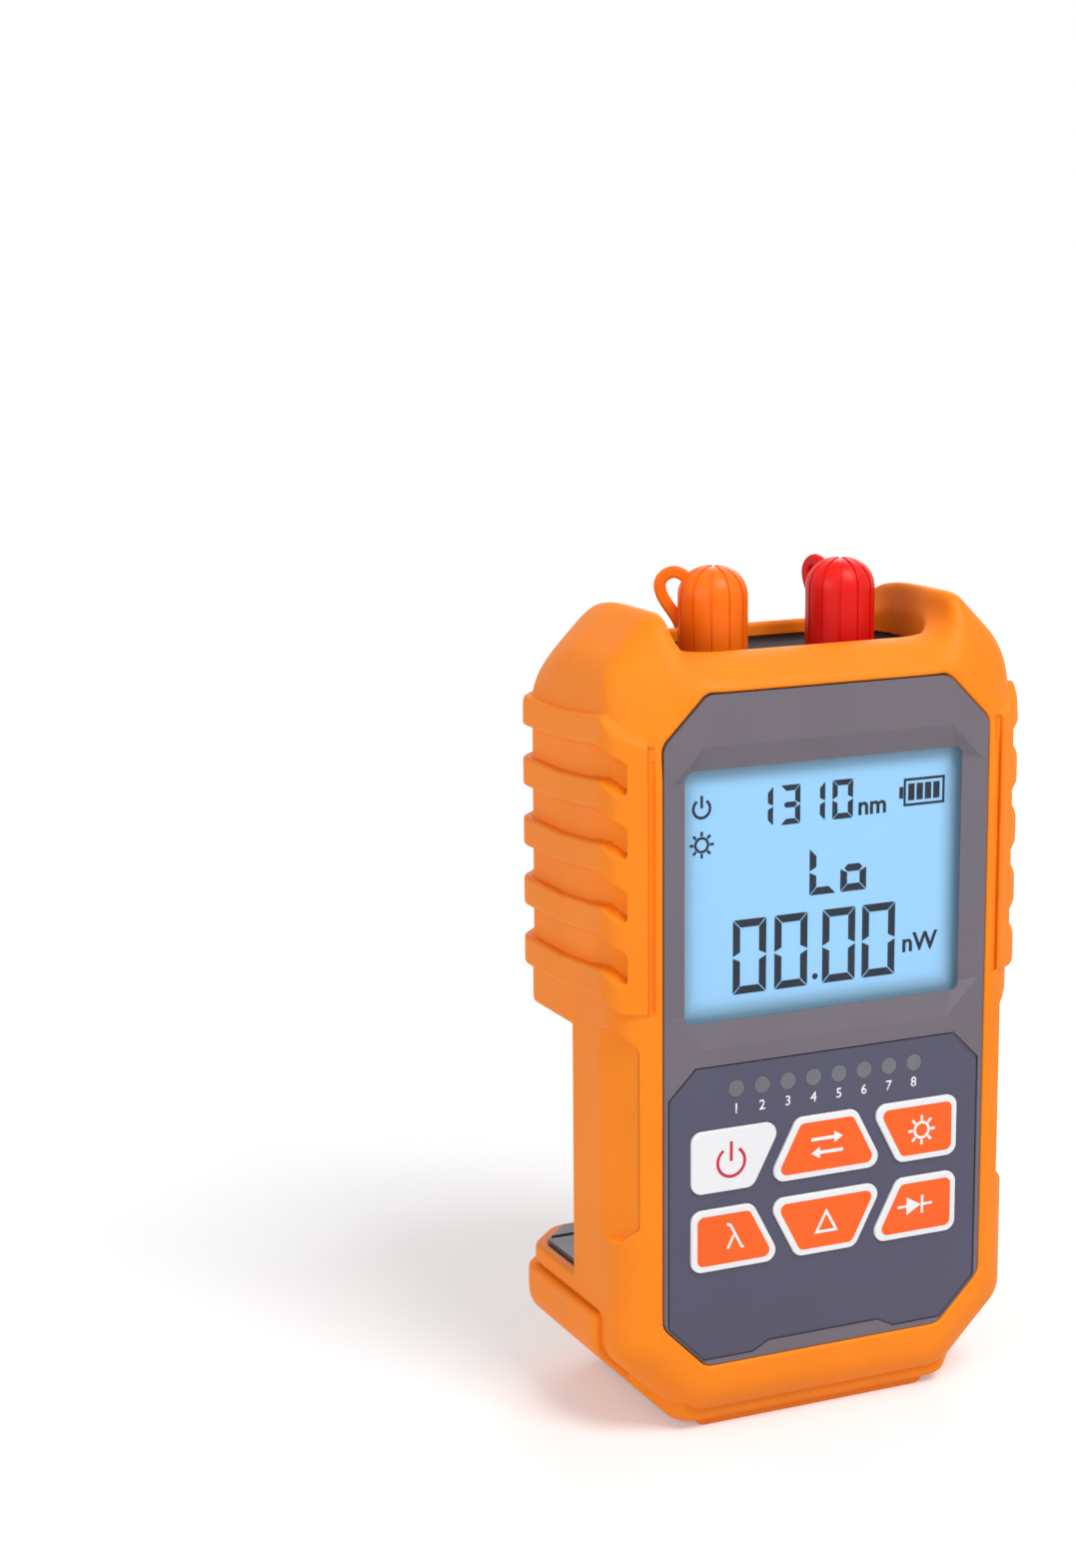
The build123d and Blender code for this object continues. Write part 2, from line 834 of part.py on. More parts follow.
def jack_contacts():
    """Sprung wires along the front wall of the jack's mouth."""
    y = jack_centre_depth() - jack_mouth_height / 2
    wires = []
    for index in range(jack_contact_count):
        z = jack_centre_height + (index - (jack_contact_count - 1) / 2) * jack_contact_pitch
        half = jack_contact_width / 2
        path = make_face(Polyline(
            (dock_x + jack_mouth_depth, y), (dock_x + 3.0, y), (dock_x + 3.0, y + 0.4),
            (dock_x + jack_mouth_depth - 3.0, y + 1.9), (dock_x + jack_mouth_depth, y + 1.9), close=True,
        ))
        wires.append(plan_prism(path, z - half, z + half))
    return Compound(wires)


def jack_board():
    """Small board that carries the jack and joins it to the main board."""
    y = jack_centre_depth() - jack_thickness / 2
    x0 = dock_x + dock_wall + seat_gap
    return block(
        x0, dock_x + jack_length + 2, y - board_thickness - seat_gap, y - seat_gap,
        jack_centre_height - jack_width / 2 - 2, jack_centre_height + jack_width / 2 + 2,
    )


def board_header():
    """Pin header between the two boards."""
    x = dock_x + jack_length - 2
    y1 = jack_centre_depth() - jack_thickness / 2 - board_thickness - seat_gap
    return block(x - 1.25, x + 1.25, board_back, y1, jack_centre_height - 6, jack_centre_height + 6)


def port_plate():
    """The plate in the floor of the well, with a flange that sits under the edge of both shells."""
    plate = plan_prism(well_outline(0), port_plate_bottom, port_plate_top)
    flange = plan_prism(well_outline(port_plate_ledge), port_plate_bottom, port_slab_bottom - seat_gap)
    plate += flange & shell_space(-shell_wall - seat_gap)
    plate -= pillar(-port_x, port_depth, adapter_radius + seat_gap / 2, 0, body_top)
    plate -= pillar(port_x, port_depth, adapter_radius + seat_gap / 2, 0, body_top)
    plate -= pillar(0, port_depth, torch_diameter / 2 + seat_gap / 2, 0, body_top)
    return plate


def port_barrel(x):
    """Round barrel of a port, with a flange under the plate and a ceramic sleeve's bore."""
    top = port_plate_top + adapter_height
    barrel = pillar(x, port_depth, adapter_radius, port_plate_bottom - adapter_flange_thickness, top)
    barrel += pillar(
        x, port_depth, adapter_flange_radius,
        port_plate_bottom - seat_gap / 2 - adapter_flange_thickness, port_plate_bottom - seat_gap / 2,
    )
    barrel = fillet(barrel.faces().sort_by(Axis.Z)[-1].edges(), 0.4)
    barrel -= pillar(x, port_depth, ferrule_bore, top - ferrule_depth, top + 1)
    ring = pillar(x, port_depth, adapter_radius - 0.8, top - 3.2, top + 1)
    ring -= pillar(x, port_depth, ferrule_wall_radius, 0, top + 1)
    return barrel - ring


def power_port():
    return port_barrel(-port_x)


def laser_port():
    return port_barrel(port_x)


def flange_bottom():
    return port_plate_bottom - seat_gap / 2 - adapter_flange_thickness


def detector():
    """Photodiode can under the power port."""
    top = flange_bottom() - seat_gap
    can = pillar(-port_x, port_depth, detector_radius, top - detector_height, top)
    return can + pillar(-port_x, port_depth, detector_radius + 0.6, top - detector_height, top - detector_height + 0.5)


def laser_module():
    """Brass barrel of the fault-finder laser, under its port."""
    top = flange_bottom() - seat_gap
    module = pillar(port_x, port_depth, laser_radius, bay_top + bay_wall + laser_floor_gap, top)
    return chamfer(module.edges().filter_by(GeomType.CIRCLE), 0.4)


def torch_lamp():
    """Lamp in the middle of the port plate."""
    lamp = pillar(0, port_depth, torch_diameter / 2, port_plate_bottom - 4, port_plate_top + torch_rise)
    return lamp + pillar(0, port_depth, torch_diameter / 2 + 0.4, port_plate_bottom - 1.2, port_plate_bottom - 0.1)


def cap_dome(shrink):
    """Round-topped body of a dust cap, about the Z axis, standing on the plate."""
    radius = cap_radius - shrink
    bottom = port_plate_top + cap_seat_gap
    top = cap_top - shrink
    flat = cap_radius - cap_dome_round
    outline = make_face(
        Polyline((0, top), (0, bottom), (radius, bottom), (radius, top - radius + flat))
        + CenterArc((flat, top - radius + flat), radius - flat, 0, 90)
        + Line((flat, top), (0, top))
    )
    return revolve(Plane.XZ * outline, Axis.Z)


def dust_cap(x, loop_angle):
    """Soft cap with shallow flutes and a pull loop, all moulded in one piece."""
    slots = []
    for index in range(cap_flutes // 2):
        slot = Box(2 * cap_radius + 2, cap_flute_width, cap_top * 3)
        slots.append(Rot(0, 0, index * 360 / cap_flutes) * slot)
    cap = cap_dome(0)
    for slot in slots:
        cap -= slot
    cap += cap_dome(cap_flute_depth)
    bore_bottom = port_plate_top + cap_seat_gap - 1
    bore_top = port_plate_top + cap_seat_gap + cap_bore_height
    cap -= pillar(0, 0, adapter_radius + cap_bore_gap, bore_bottom, bore_top)
    low = cap_top - loop_height
    high = cap_top - cap_radius / 3
    path = Spline(
        (cap_radius - 0.5, low), (cap_radius + loop_reach * 0.6, (low + high) / 2 + 0.6),
        (cap_radius + loop_reach * 0.72, high - 0.4), (cap_radius + loop_reach * 0.2, high + 0.9),
        (cap_radius * 0.62, high - 0.6),
        tangents=((0.35, 1), (-1, -0.9)),
    )
    wire = Plane.XZ * path
    section = Plane(origin=wire @ 0, z_dir=wire % 0) * RectangleRounded(loop_strap * 1.5, loop_strap, loop_strap * 0.4)
    loop = sweep(section, path=wire) - cap_dome(0.6)
    return Pos(x, port_depth, 0) * (cap + Rot(0, 0, loop_angle) * loop)


def cover_outline(grow=0.0):
    """The battery cover seen from the back: a plate with a narrow screw tab below it."""
    plate = Pos(0, (cover_bottom + cover_top) / 2) * Rectangle(
        2 * (cover_half_width + grow), cover_top - cover_bottom + 2 * grow
    )
    tab = Pos(0, (cover_tab_bottom + cover_bottom) / 2) * Rectangle(
        2 * (cover_tab_half_width + grow), cover_bottom - cover_tab_bottom + 2 * grow
    )
    outline = plate + tab
    return fillet(outline.vertices(), cover_corner)


def battery_cover():
    """Flat cover over the cells, with a grip patch and a screw tab at its lower edge."""
    cover = face_prism(cover_outline(), cover_inner, cover_outer)
    cover = fillet(cover.faces().sort_by(Axis.Y)[-1].edges(), cover_edge_round)
    for z in (bay_bottom + seat_gap, bay_top - seat_gap - 1.0):
        cover += block(
            -bay_half_width * 0.8, bay_half_width * 0.8, cover_inner - cover_lip, cover_inner + 0.5, z, z + 1.0
        )
    cover -= post(0, cover_screw_z, screw_radius + screw_hole_gap, 0, body_depth * 2)
    cover -= post(0, cover_screw_z, screw_head_radius + screw_hole_gap, cover_outer - cover_head_recess, body_depth * 2)
    for index in range(cover_grip_count):
        z = cover_top - 4 - index * cover_grip_pitch
        cover -= block(-9, 9, cover_outer - 0.5, cover_outer + 1, z - 0.6, z + 0.6)
    return cover


def screw(x, z, head_y, tip_y):
    """Cross-head screw that enters from the back."""
    body = post(x, z, screw_head_radius, head_y, head_y + screw_head_height)
    body = fillet(body.edges().filter_by(GeomType.CIRCLE).sort_by(Axis.Y)[-1], 0.5)
    body += post(x, z, screw_radius - screw_hole_gap / 2, tip_y, head_y + 0.2)
    for w, h in ((2.4, 0.5), (0.5, 2.4)):
        body -= block(
            x - w / 2, x + w / 2, head_y + screw_head_height - 0.8, head_y + screw_head_height + 1,
            z - h / 2, z + h / 2,
        )
    return body


def housing_screws():
    head_y = shell_back - screw_head_height - seat_gap / 2
    return Compound([screw(x, z, head_y, shell_split - screw_bite) for x, z in screw_places()])


def cover_screw():
    head_y = cover_outer - cover_head_recess + seat_gap / 2
    return screw(0, cover_screw_z, head_y, head_y - cover_screw_length)


def cell_heights():
    first = bay_bottom + cell_gap + cell_diameter / 2
    return [first + index * (cell_diameter + cell_gap) for index in range(cell_count)]


def cell_way(index):
    """Neighbouring cells face opposite ways."""
    return 1 if index % 2 else -1


def battery_cell(index):
    """One AAA cell, its nub against the contact plate."""
    z = cell_heights()[index]
    way = cell_way(index)
    can_length = cell_length - cell_nub_length
    can_x = way * (contact_half_width - seat_gap / 2 - cell_nub_length - can_length / 2)
    can = Pos(can_x, cell_depth, z) * Rot(0, 90, 0) * Cylinder(cell_diameter / 2, can_length)
    can = fillet(can.edges().filter_by(GeomType.CIRCLE), 0.6)
    nub_x = way * (contact_half_width - seat_gap / 2 - cell_nub_length)
    nub = Pos(nub_x, cell_depth, z) * Rot(0, 90, 0) * Cylinder(cell_nub_radius, 2 * cell_nub_length)
    return can + nub


def battery_contacts():
    """Flat plates at both ends of the bay."""
    plates = []
    for side in (-1, 1):
        x = side * (contact_half_width + contact_thickness / 2)
        for z in cell_heights():
            plates.append(Pos(x, cell_depth, z) * Box(contact_thickness, contact_width, contact_height))
    return Compound(plates)


def battery_springs():
    """A bowed leaf between each cell's base and its contact plate."""
    springs = []
    for index, z in enumerate(cell_heights()):
        outer_x = contact_half_width - seat_gap / 2 - spring_leaf / 2
        inner_x = contact_half_width - spring_length + seat_gap + spring_leaf / 2
        bow = ThreePointArc(
            (outer_x, cell_depth - spring_width / 2), (inner_x, cell_depth), (outer_x, cell_depth + spring_width / 2)
        )
        leaf = offset(bow, amount=spring_leaf / 2, side=Side.BOTH)
        strip = plan_prism(make_face(leaf), z - spring_leaf_height / 2, z + spring_leaf_height / 2)
        springs.append(strip if cell_way(index) < 0 else mirror(strip, about=Plane.YZ))
    return Compound(springs)


def place(solid):
    """Moves a finished piece so that the depth is centred on Y = 0."""
    return Pos(0, -half_depth, 0) * solid


pieces = {
    "boot": boot(),
    "front_shell": front_shell(),
    "rear_shell": rear_shell(),
    "port_plate": port_plate(),
    "display_lens": display_lens(),
    "display_glass": display_sheet(lcd_margin, lcd_front, lcd_back),
    "display_backlight": display_sheet(lcd_margin, backlight_front, backlight_back),
    "display_frame": display_frame(),
    "keypad_label": keypad_label(),
    "lamp_guide": lamp_guide(),
    "key_mat": key_mat(),
    "dome_switches": dome_switches(),
    "main_board": main_board(),
    "board_chips": board_chips(),
    "test_lamps": test_lamps(),
    "power_port": power_port(),
    "laser_port": laser_port(),
    "detector": detector(),
    "laser_module": laser_module(),
    "torch_lamp": torch_lamp(),
    "power_port_cap": dust_cap(-port_x, power_cap_loop_turn),
    "laser_port_cap": dust_cap(port_x, laser_cap_loop_turn),
    "network_jack": network_jack(),
    "jack_contacts": jack_contacts(),
    "jack_board": jack_board(),
    "board_header": board_header(),
    "battery_cover": battery_cover(),
    "cover_screw": cover_screw(),
    "housing_screws": housing_screws(),
    "battery_contacts": battery_contacts(),
    "battery_springs": battery_springs(),
}
for name in key_names:
    pieces[name] = key(name)
for index in range(cell_count):
    pieces[f"battery_cell_{index + 1}"] = battery_cell(index)

for name, solid in pieces.items():
    export_step(place(solid), f"parts/{name}.step")
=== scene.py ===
import json
import math
import bmesh
import bpy
import numpy as np
from mathutils import Matrix, Vector


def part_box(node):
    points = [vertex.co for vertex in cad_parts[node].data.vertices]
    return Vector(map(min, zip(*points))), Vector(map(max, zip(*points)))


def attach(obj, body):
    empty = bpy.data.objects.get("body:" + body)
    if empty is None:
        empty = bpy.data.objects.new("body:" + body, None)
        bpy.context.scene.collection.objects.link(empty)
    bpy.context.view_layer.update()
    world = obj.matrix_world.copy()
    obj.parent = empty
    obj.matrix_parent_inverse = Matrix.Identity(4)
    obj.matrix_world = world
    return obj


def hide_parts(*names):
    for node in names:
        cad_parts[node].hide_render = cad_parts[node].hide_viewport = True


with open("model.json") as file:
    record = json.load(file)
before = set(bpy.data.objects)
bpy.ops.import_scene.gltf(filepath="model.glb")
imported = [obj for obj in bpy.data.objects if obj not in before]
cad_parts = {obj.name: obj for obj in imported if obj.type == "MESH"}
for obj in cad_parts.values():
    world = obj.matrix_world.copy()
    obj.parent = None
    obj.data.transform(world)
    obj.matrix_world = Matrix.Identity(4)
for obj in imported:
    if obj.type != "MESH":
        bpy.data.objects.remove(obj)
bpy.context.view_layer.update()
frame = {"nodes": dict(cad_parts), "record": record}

# Sizes are in millimetres, and depth is measured back from the boot's front.
# The function at() turns them into the frame's metres.
MM = 0.001
HALF_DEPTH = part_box("boot")[1][1] / MM
ROOT_HALF = math.sqrt(0.5)

# Housing form
HALF_WIDTH = 36.0
DEPTH = 42.0
BOTTOM = 1.8
TOP = 134.7
LOW_CORNER_Z = 14.1
HIGH_CORNER_Z = 123.0
FRONT_ROUND = 6.9
BROW_Z = 121.2
BROW_RISE = 0.858
BROW_CORNER_Z = 108.7
BROW_CORNER_RISE = 1.7
SIDE_BACK_BEVEL = 6.5
UNDER_BACK_BEVEL = 5.5
RIDGE_BACK = (30.0, 12.0, 10.0)
RIDGE_CORNER_DROP = 6.4
HUMP_SWELL = 0.5
SWELL_Z = 118.0
SWELL_RISE = 8.0

# How widely the faces of the form blend into each other
SIDE_BLEND = 1.6
HIGH_BLEND = 2.6
CORNER_BLEND = 3.2
UNDER_BLEND = 1.4
LOW_BACK_BLEND = 1.2
RIDGE_BLEND = 2.2
CROWN_BLEND = 3.6

# Brow, saddle between the humps, and port well
WALL = 2.2
SADDLE_Z = 126.0
SADDLE_HALF = 25.0
SADDLE_ROUND = 4.5
SADDLE_BACK = (32.5, 0.2526)
DIP_HALF = 22.0
DIP_FADE = 3.0
WELL = (25.0, 7.8, 32.0, 9.0)
PLATE_TOP = 123.4

# Grips on the flanks
RIB_TOP = 116.4
RIB_PITCH = 9.9
RIB_THICK = 5.0
RIB_COUNT = 5
RIB_HEIGHT = 1.2
RIB_FRONT = 1.9
ROOF_BEND = 7.0
FLOOR_BEND = 6.0
RIB_LEVEL_FROM = 21.0
RIB_DIP = 0.8
RIB_LIFT = 1.2
BAR_INNER = 31.5
BAR_FRONT = 0.1
BAR_SLOPE = 0.5
BAR_BACK = 2.1
POCKET_SINK = 1.0
POCKET_FADE = (5.0, 12.0)
POCKET_INNER = 29.0
RIB_BACK_END = 28.2
GROOVE_HALF = 0.5
GROOVE_DEPTH = 0.9
GROOVE_HEIGHT = (71.0, 112.8)

# Bumper, foot and thumb panels
BUMPER_HEIGHT = 1.1
BUMPER_TOP = 19.8
BUMPER_TURN = (24.0, 31.0)
BUMPER_FRONT = (2.6, 9.2)
CREASE_HALF = 0.25
CREASE_DEPTH = 0.4
FOOT_FRONT = 4.2
FOOT_BACK = 34.0
FOOT_HALF = 21.6
FOOT_TOP = 3.0
PANEL_DEPTH = (1.4, 8.6)
PANEL_HEIGHT = (33.8, 67.8)
PANEL_SLANTS = (37.6, 64.0)
PANEL_SINK = 0.45
PANEL_RUN = 7.0

# Bezel, dock and cover openings
BEZEL_HALF = 29.1
BEZEL_LOW = 11.9
BEZEL_HIGH = 120.5
BEZEL_CORNER = 7.6
BEZEL_DEPTH = 4.0
DOCK_EDGE = (-12.4, 19.6, 23.2, 65.3)
COVER = (26.05, 70.5, 106.8, 6.3, 66.7, 39.4)

# The grid from which the boot is meshed
GRID_STEP = 0.45
GRID_LOW = (-39.0, -2.1, -1.6)
GRID_HIGH = (39.0, 44.1, 136.0)
BOOT_TRIANGLES = 190000


def at(x, depth, z):
    """A place given in millimetres, in the frame's metres."""
    return Vector((x * MM, (depth - HALF_DEPTH) * MM, z * MM))


# Smooth joins of distance fields

def soft_max(a, b, width):
    reach = np.maximum(width - np.abs(a - b), 0) / width
    return np.maximum(a, b) + reach * reach * width / 4


def soft_min(a, b, width):
    return -soft_max(-a, -b, width)


def round_max(a, b, radius):
    inside = np.minimum(np.maximum(a, b), -radius)
    return inside + np.hypot(np.maximum(a + radius, 0), np.maximum(b + radius, 0))


def housing_field(x, d, z):
    """Distance to the smooth housing form, negative inside."""
    ax = np.abs(x)
    side = ax - HALF_WIDTH
    low = (side - (z - LOW_CORNER_Z)) * ROOT_HALF
    high = (side + (z - HIGH_CORNER_Z)) * ROOT_HALF
    outline = soft_max(soft_max(side, low, SIDE_BLEND), BOTTOM - z, SIDE_BLEND)
    form = round_max(outline, -d, FRONT_ROUND)
    swell = HUMP_SWELL * np.clip((z - SWELL_Z) / SWELL_RISE, 0, 1)
    form = soft_max(form, high - swell, HIGH_BLEND)
    corner = (side + z - BROW_CORNER_Z) * ROOT_HALF - BROW_CORNER_RISE * d
    corner = corner / math.hypot(1, BROW_CORNER_RISE)
    form = soft_max(form, corner, CORNER_BLEND)
    back_start, run, drop = RIDGE_BACK
    ridge = (drop * (d - back_start) + run * (z - TOP)) / math.hypot(drop, run)
    corner_drop = RIDGE_CORNER_DROP * (d - back_start)
    ridge_corner = (run * high + corner_drop) / math.hypot(run, RIDGE_CORNER_DROP)
    under = ((d - DEPTH + UNDER_BACK_BEVEL) - (z - BOTTOM)) * ROOT_HALF
    low_back = (low + d - DEPTH + UNDER_BACK_BEVEL) * ROOT_HALF
    side_back = (side + d - DEPTH + SIDE_BACK_BEVEL) * ROOT_HALF
    rear = soft_max(d - DEPTH, side_back, SIDE_BLEND)
    rear = soft_max(rear, soft_max(under, low_back, LOW_BACK_BLEND), UNDER_BLEND)
    crown = soft_max(soft_max(ridge, ridge_corner, RIDGE_BLEND), z - TOP, CROWN_BLEND)
    return soft_max(soft_max(form, rear, SIDE_BLEND), crown, CROWN_BLEND)


def rib_edge(d, level, bend):
    """The height of a rib's edge, which starts low at the front, rises to a bend and then runs level."""
    return np.interp(d, [RIB_FRONT, bend, RIB_LEVEL_FROM], [level - RIB_DIP, level + RIB_LIFT, level])


def grip_field(x, d, z, form):
    """The raised ribs and the bars that join them."""
    ax = np.abs(x)
    heights = [RIB_TOP - 4.8, RIB_TOP - 3.6, RIB_TOP + RIB_LIFT, RIB_TOP]
    top = np.interp(d, [-1.2, 0, FLOOR_BEND, RIB_LEVEL_FROM], heights)
    low = rib_edge(d, RIB_TOP - (RIB_COUNT - 1) * RIB_PITCH - RIB_THICK, ROOF_BEND)
    mask = np.maximum((z - top) * 0.85, (low - z) * 0.9)
    inner = np.where(d < DEPTH / 2, BAR_INNER, RIB_BACK_END) - ax
    face = (BAR_SLOPE * (ax - BAR_INNER) - (d - BAR_FRONT)) / math.hypot(1, BAR_SLOPE)
    mask = soft_max(mask, soft_max(inner, face, 0.4), 0.4)
    return soft_max(form - RIB_HEIGHT, soft_max(mask, -pockets_field(d, z), 0.5), 0.7)


def pockets_field(d, z):
    """The spaces between the ribs, closed at the front by the upright bar."""
    pockets = None
    for index in range(RIB_COUNT - 1):
        roof = rib_edge(d, RIB_TOP - index * RIB_PITCH - RIB_THICK, ROOF_BEND)
        floor = rib_edge(d, RIB_TOP - (index + 1) * RIB_PITCH, FLOOR_BEND)
        pocket = soft_max(np.maximum(z - roof, floor - z), BAR_BACK - d, 0.8)
        pockets = pocket if pockets is None else np.minimum(pockets, pocket)
    return pockets


def bumper_field(x, d, z, form):
    """The thicker band round the foot, and the fine crease along its edge."""
    front = np.interp(np.abs(x), BUMPER_TURN, BUMPER_FRONT)
    mask = soft_max(z - BUMPER_TOP, (front - d) * 0.8, 1.6)
    raised = soft_max(form - BUMPER_HEIGHT, mask, 0.9)
    crease = np.maximum(np.abs(mask - CREASE_HALF) - CREASE_HALF, -form - CREASE_DEPTH)
    return raised, crease


def foot_field(x, d, z):
    """The flat pad under the boot, its ends sloping outward as it rises."""
    ends = (np.abs(x) - FOOT_HALF - 0.6 * (z - BOTTOM)) * 0.86
    mask = soft_max(ends, np.maximum(FOOT_FRONT - d, d - FOOT_BACK), 0.5)
    return soft_max(np.maximum(mask, z - FOOT_TOP), -z, 0.5)


def octagon_field(x, z):
    """The bezel's opening."""
    ax = np.abs(x) - BEZEL_HALF
    sides = np.maximum(ax, np.maximum(BEZEL_LOW - z, z - BEZEL_HIGH))
    high = (ax + z - BEZEL_HIGH + BEZEL_CORNER) * ROOT_HALF
    low = (ax + BEZEL_LOW - z + BEZEL_CORNER) * ROOT_HALF
    return soft_max(sides, np.maximum(high, low), 0.9)


def well_field(x, d):
    """The round-cornered port well, seen from above."""
    half, front, back, corner = WELL
    across = np.abs(x) - (half - corner)
    along = np.abs(d - (front + back) / 2) - ((back - front) / 2 - corner)
    outside = np.hypot(np.maximum(across, 0), np.maximum(along, 0))
    return outside + np.minimum(np.maximum(across, along), 0) - corner


def panel_field(x, d, z):
    """What the flat thumb panels take off, positive where rubber is removed."""
    front, back = PANEL_DEPTH
    low, high = PANEL_HEIGHT
    slant_low, slant_high = PANEL_SLANTS
    inset = FRONT_ROUND - math.sqrt(FRONT_ROUND**2 - (FRONT_ROUND - front) ** 2)
    start = HALF_WIDTH - inset - PANEL_SINK
    run = Vector((HALF_WIDTH - start, PANEL_RUN)).normalized()
    plane = run.y * (np.abs(x) - start) - run.x * (d - front)
    band = np.maximum(np.maximum(front - d, d - back), np.maximum(z - high, low - z))
    band = np.maximum(band, np.maximum(z - d - slant_high, slant_low - z - d) * ROOT_HALF)
    return np.minimum(plane, -band)


def groove_field(x, d, z):
    """The line beside the bezel, inside the upright bar."""
    low, high = GROOVE_HEIGHT
    across = np.abs(np.abs(x) - BAR_INNER + GROOVE_HALF) - GROOVE_HALF
    return np.maximum(np.maximum(across, d - GROOVE_DEPTH), np.maximum(z - high, low - z))


def with_grips(x, d, z, form):
    """The housing form with its ribs, sunk pockets, bumper, foot, thumb panels and grooves."""
    body = soft_min(form, grip_field(x, d, z, form), 0.4)
    fade_start, fade_end = POCKET_FADE
    sink = 0.15 + POCKET_SINK * np.clip((fade_end - d) / (fade_end - fade_start), 0, 1)
    beside = POCKET_INNER - np.abs(x)
    pockets = np.maximum(np.maximum(pockets_field(d, z), -sink - form), beside)
    body = soft_max(body, -pockets, 0.5)
    bumper, crease = bumper_field(x, d, z, form)
    body = soft_min(soft_max(body, -crease, 0.4), bumper, 0.2)
    body = soft_min(body, foot_field(x, d, z), 0.4)
    body = soft_max(body, panel_field(x, d, z), 0.4)
    return soft_max(body, -groove_field(x, d, z), 0.4)


def with_port_well(body, form, x, d, z):
    """The body after the brow, the saddle and the port well are cut, and after it is hollowed."""
    ax = np.abs(x)
    back_start, back_slope = SADDLE_BACK
    dip = back_slope * np.clip(d - back_start, 0, 99) * np.clip((DIP_HALF - ax) / DIP_FADE, 0, 1)
    brow = (BROW_Z + BROW_RISE * d - z) / math.hypot(1, BROW_RISE)
    saddle = -round_max(soft_min(SADDLE_Z - dip - z, brow, 2.0), ax - SADDLE_HALF, SADDLE_ROUND)
    edge = 1.3 + 1.9 * np.clip((ax - 20.0) / 6.0, 0, 1)
    body = soft_max(body, saddle, edge)
    body = soft_max(body, -np.maximum(well_field(x, d), PLATE_TOP - 0.4 - z), 0.9)
    cavity = np.maximum(np.maximum(form, -brow) + WALL, z - PLATE_TOP - 0.15)
    return np.maximum(body, -cavity)


def with_openings(body, x, d, z):
    """The body after the bezel's, the dock's and the battery cover's openings are cut."""
    body = soft_max(body, -np.maximum(octagon_field(x, z), d - BEZEL_DEPTH), 0.9)
    edge_x, edge_d, edge_low, edge_high = DOCK_EDGE
    dock = np.maximum(np.maximum(x - edge_x, edge_d - d), np.maximum(edge_low - z, z - edge_high))
    body = soft_max(body, -dock, 0.8)
    half, low, high, tab_half, tab_low, depth = COVER
    ax = np.abs(x)
    main = np.maximum(ax - half, np.maximum(low - z, z - high))
    tab = np.maximum(ax - tab_half, np.maximum(tab_low - z, z - low - 1))
    return soft_max(body, -np.maximum(np.minimum(main, tab), depth - d), 0.5)


def boot_field(x, d, z):
    """Distance to the whole boot, negative in the rubber."""
    form = housing_field(x, d, z)
    body = with_grips(x, d, z, form)
    body = with_port_well(body, form, x, d, z)
    return with_openings(body, x, d, z)


# Turning a field into a mesh

def surface_net(field, low, high, step):
    """Vertices and quads of the surface where the field is zero, one vertex in each crossed cell."""
    counts = [math.ceil((b - a) / step) + 1 for a, b in zip(low, high)]
    axes = [np.arange(n) * step + a for n, a in zip(counts, low)]
    values = np.empty(counts, dtype=np.float32)
    slab = 24
    for start in range(0, counts[0], slab):
        grid = np.meshgrid(axes[0][start:start + slab], axes[1], axes[2], indexing="ij")
        values[start:start + slab] = field(*grid)
    cells = [n - 1 for n in counts]
    total = cells[0] * cells[1] * cells[2]
    sums = np.zeros((3, total))
    hits = np.zeros(total)
    rings = []
    for axis in range(3):
        near_part = [slice(None)] * 3
        far_part = [slice(None)] * 3
        near_part[axis] = slice(0, -1)
        far_part[axis] = slice(1, None)
        near = values[tuple(near_part)]
        far = values[tuple(far_part)]
        crossing = np.argwhere((near < 0) != (far < 0))
        near = near[tuple(crossing.T)]
        far = far[tuple(crossing.T)]
        places = crossing.astype(float)
        places[:, axis] += near / (near - far)
        u = (axis + 1) % 3
        v = (axis + 2) % 3
        ring = []
        for du, dv in ((0, 0), (-1, 0), (-1, -1), (0, -1)):
            cell = crossing.copy()
            cell[:, u] += du
            cell[:, v] += dv
            index = (cell[:, 0] * cells[1] + cell[:, 1]) * cells[2] + cell[:, 2]
            ring.append(index)
            hits += np.bincount(index, minlength=total)
            for k in range(3):
                sums[k] += np.bincount(index, weights=places[:, k], minlength=total)
        ring = np.stack(ring, axis=1)
        rings.append(np.where((near < 0)[:, None], ring, ring[:, ::-1]))
    used = np.flatnonzero(hits)
    renumber = np.full(total, -1)
    renumber[used] = np.arange(len(used))
    points = (sums[:, used] / hits[used]).T * step + np.array(low)
    return points, renumber[np.concatenate(rings)]


def gradient(field, points):
    """The field's direction of growth at each point."""
    reach = 0.06
    slopes = []
    for axis in range(3):
        shift = np.zeros(3)
        shift[axis] = reach
        ahead = field(*(points + shift).T)
        behind = field(*(points - shift).T)
        slopes.append((ahead - behind) / (2 * reach))
    return np.stack(slopes, axis=1)


def settle(field, points, rounds, most):
    """The points moved onto the surface, each round by no more than the last value."""
    for _ in range(rounds):
        value = field(*points.T)
        slope = gradient(field, points)
        size = np.maximum((slope**2).sum(axis=1), 0.2)
        move = slope * (value / size)[:, None]
        length = np.sqrt((move**2).sum(axis=1))
        move *= np.minimum(1, most / np.maximum(length, 1e-9))[:, None]
        points = points - move
    return points


def link(name, mesh):
    piece = bpy.data.objects.new(name, mesh)
    bpy.context.scene.collection.objects.link(piece)
    return piece


def baked_mesh(piece):
    """The piece's mesh with its modifiers applied."""
    graph = bpy.context.evaluated_depsgraph_get()
    return bpy.data.meshes.new_from_object(piece.evaluated_get(graph), depsgraph=graph)


def points_of(mesh):
    flat = np.empty(len(mesh.vertices) * 3)
    mesh.vertices.foreach_get("co", flat)
    return flat.reshape(-1, 3)


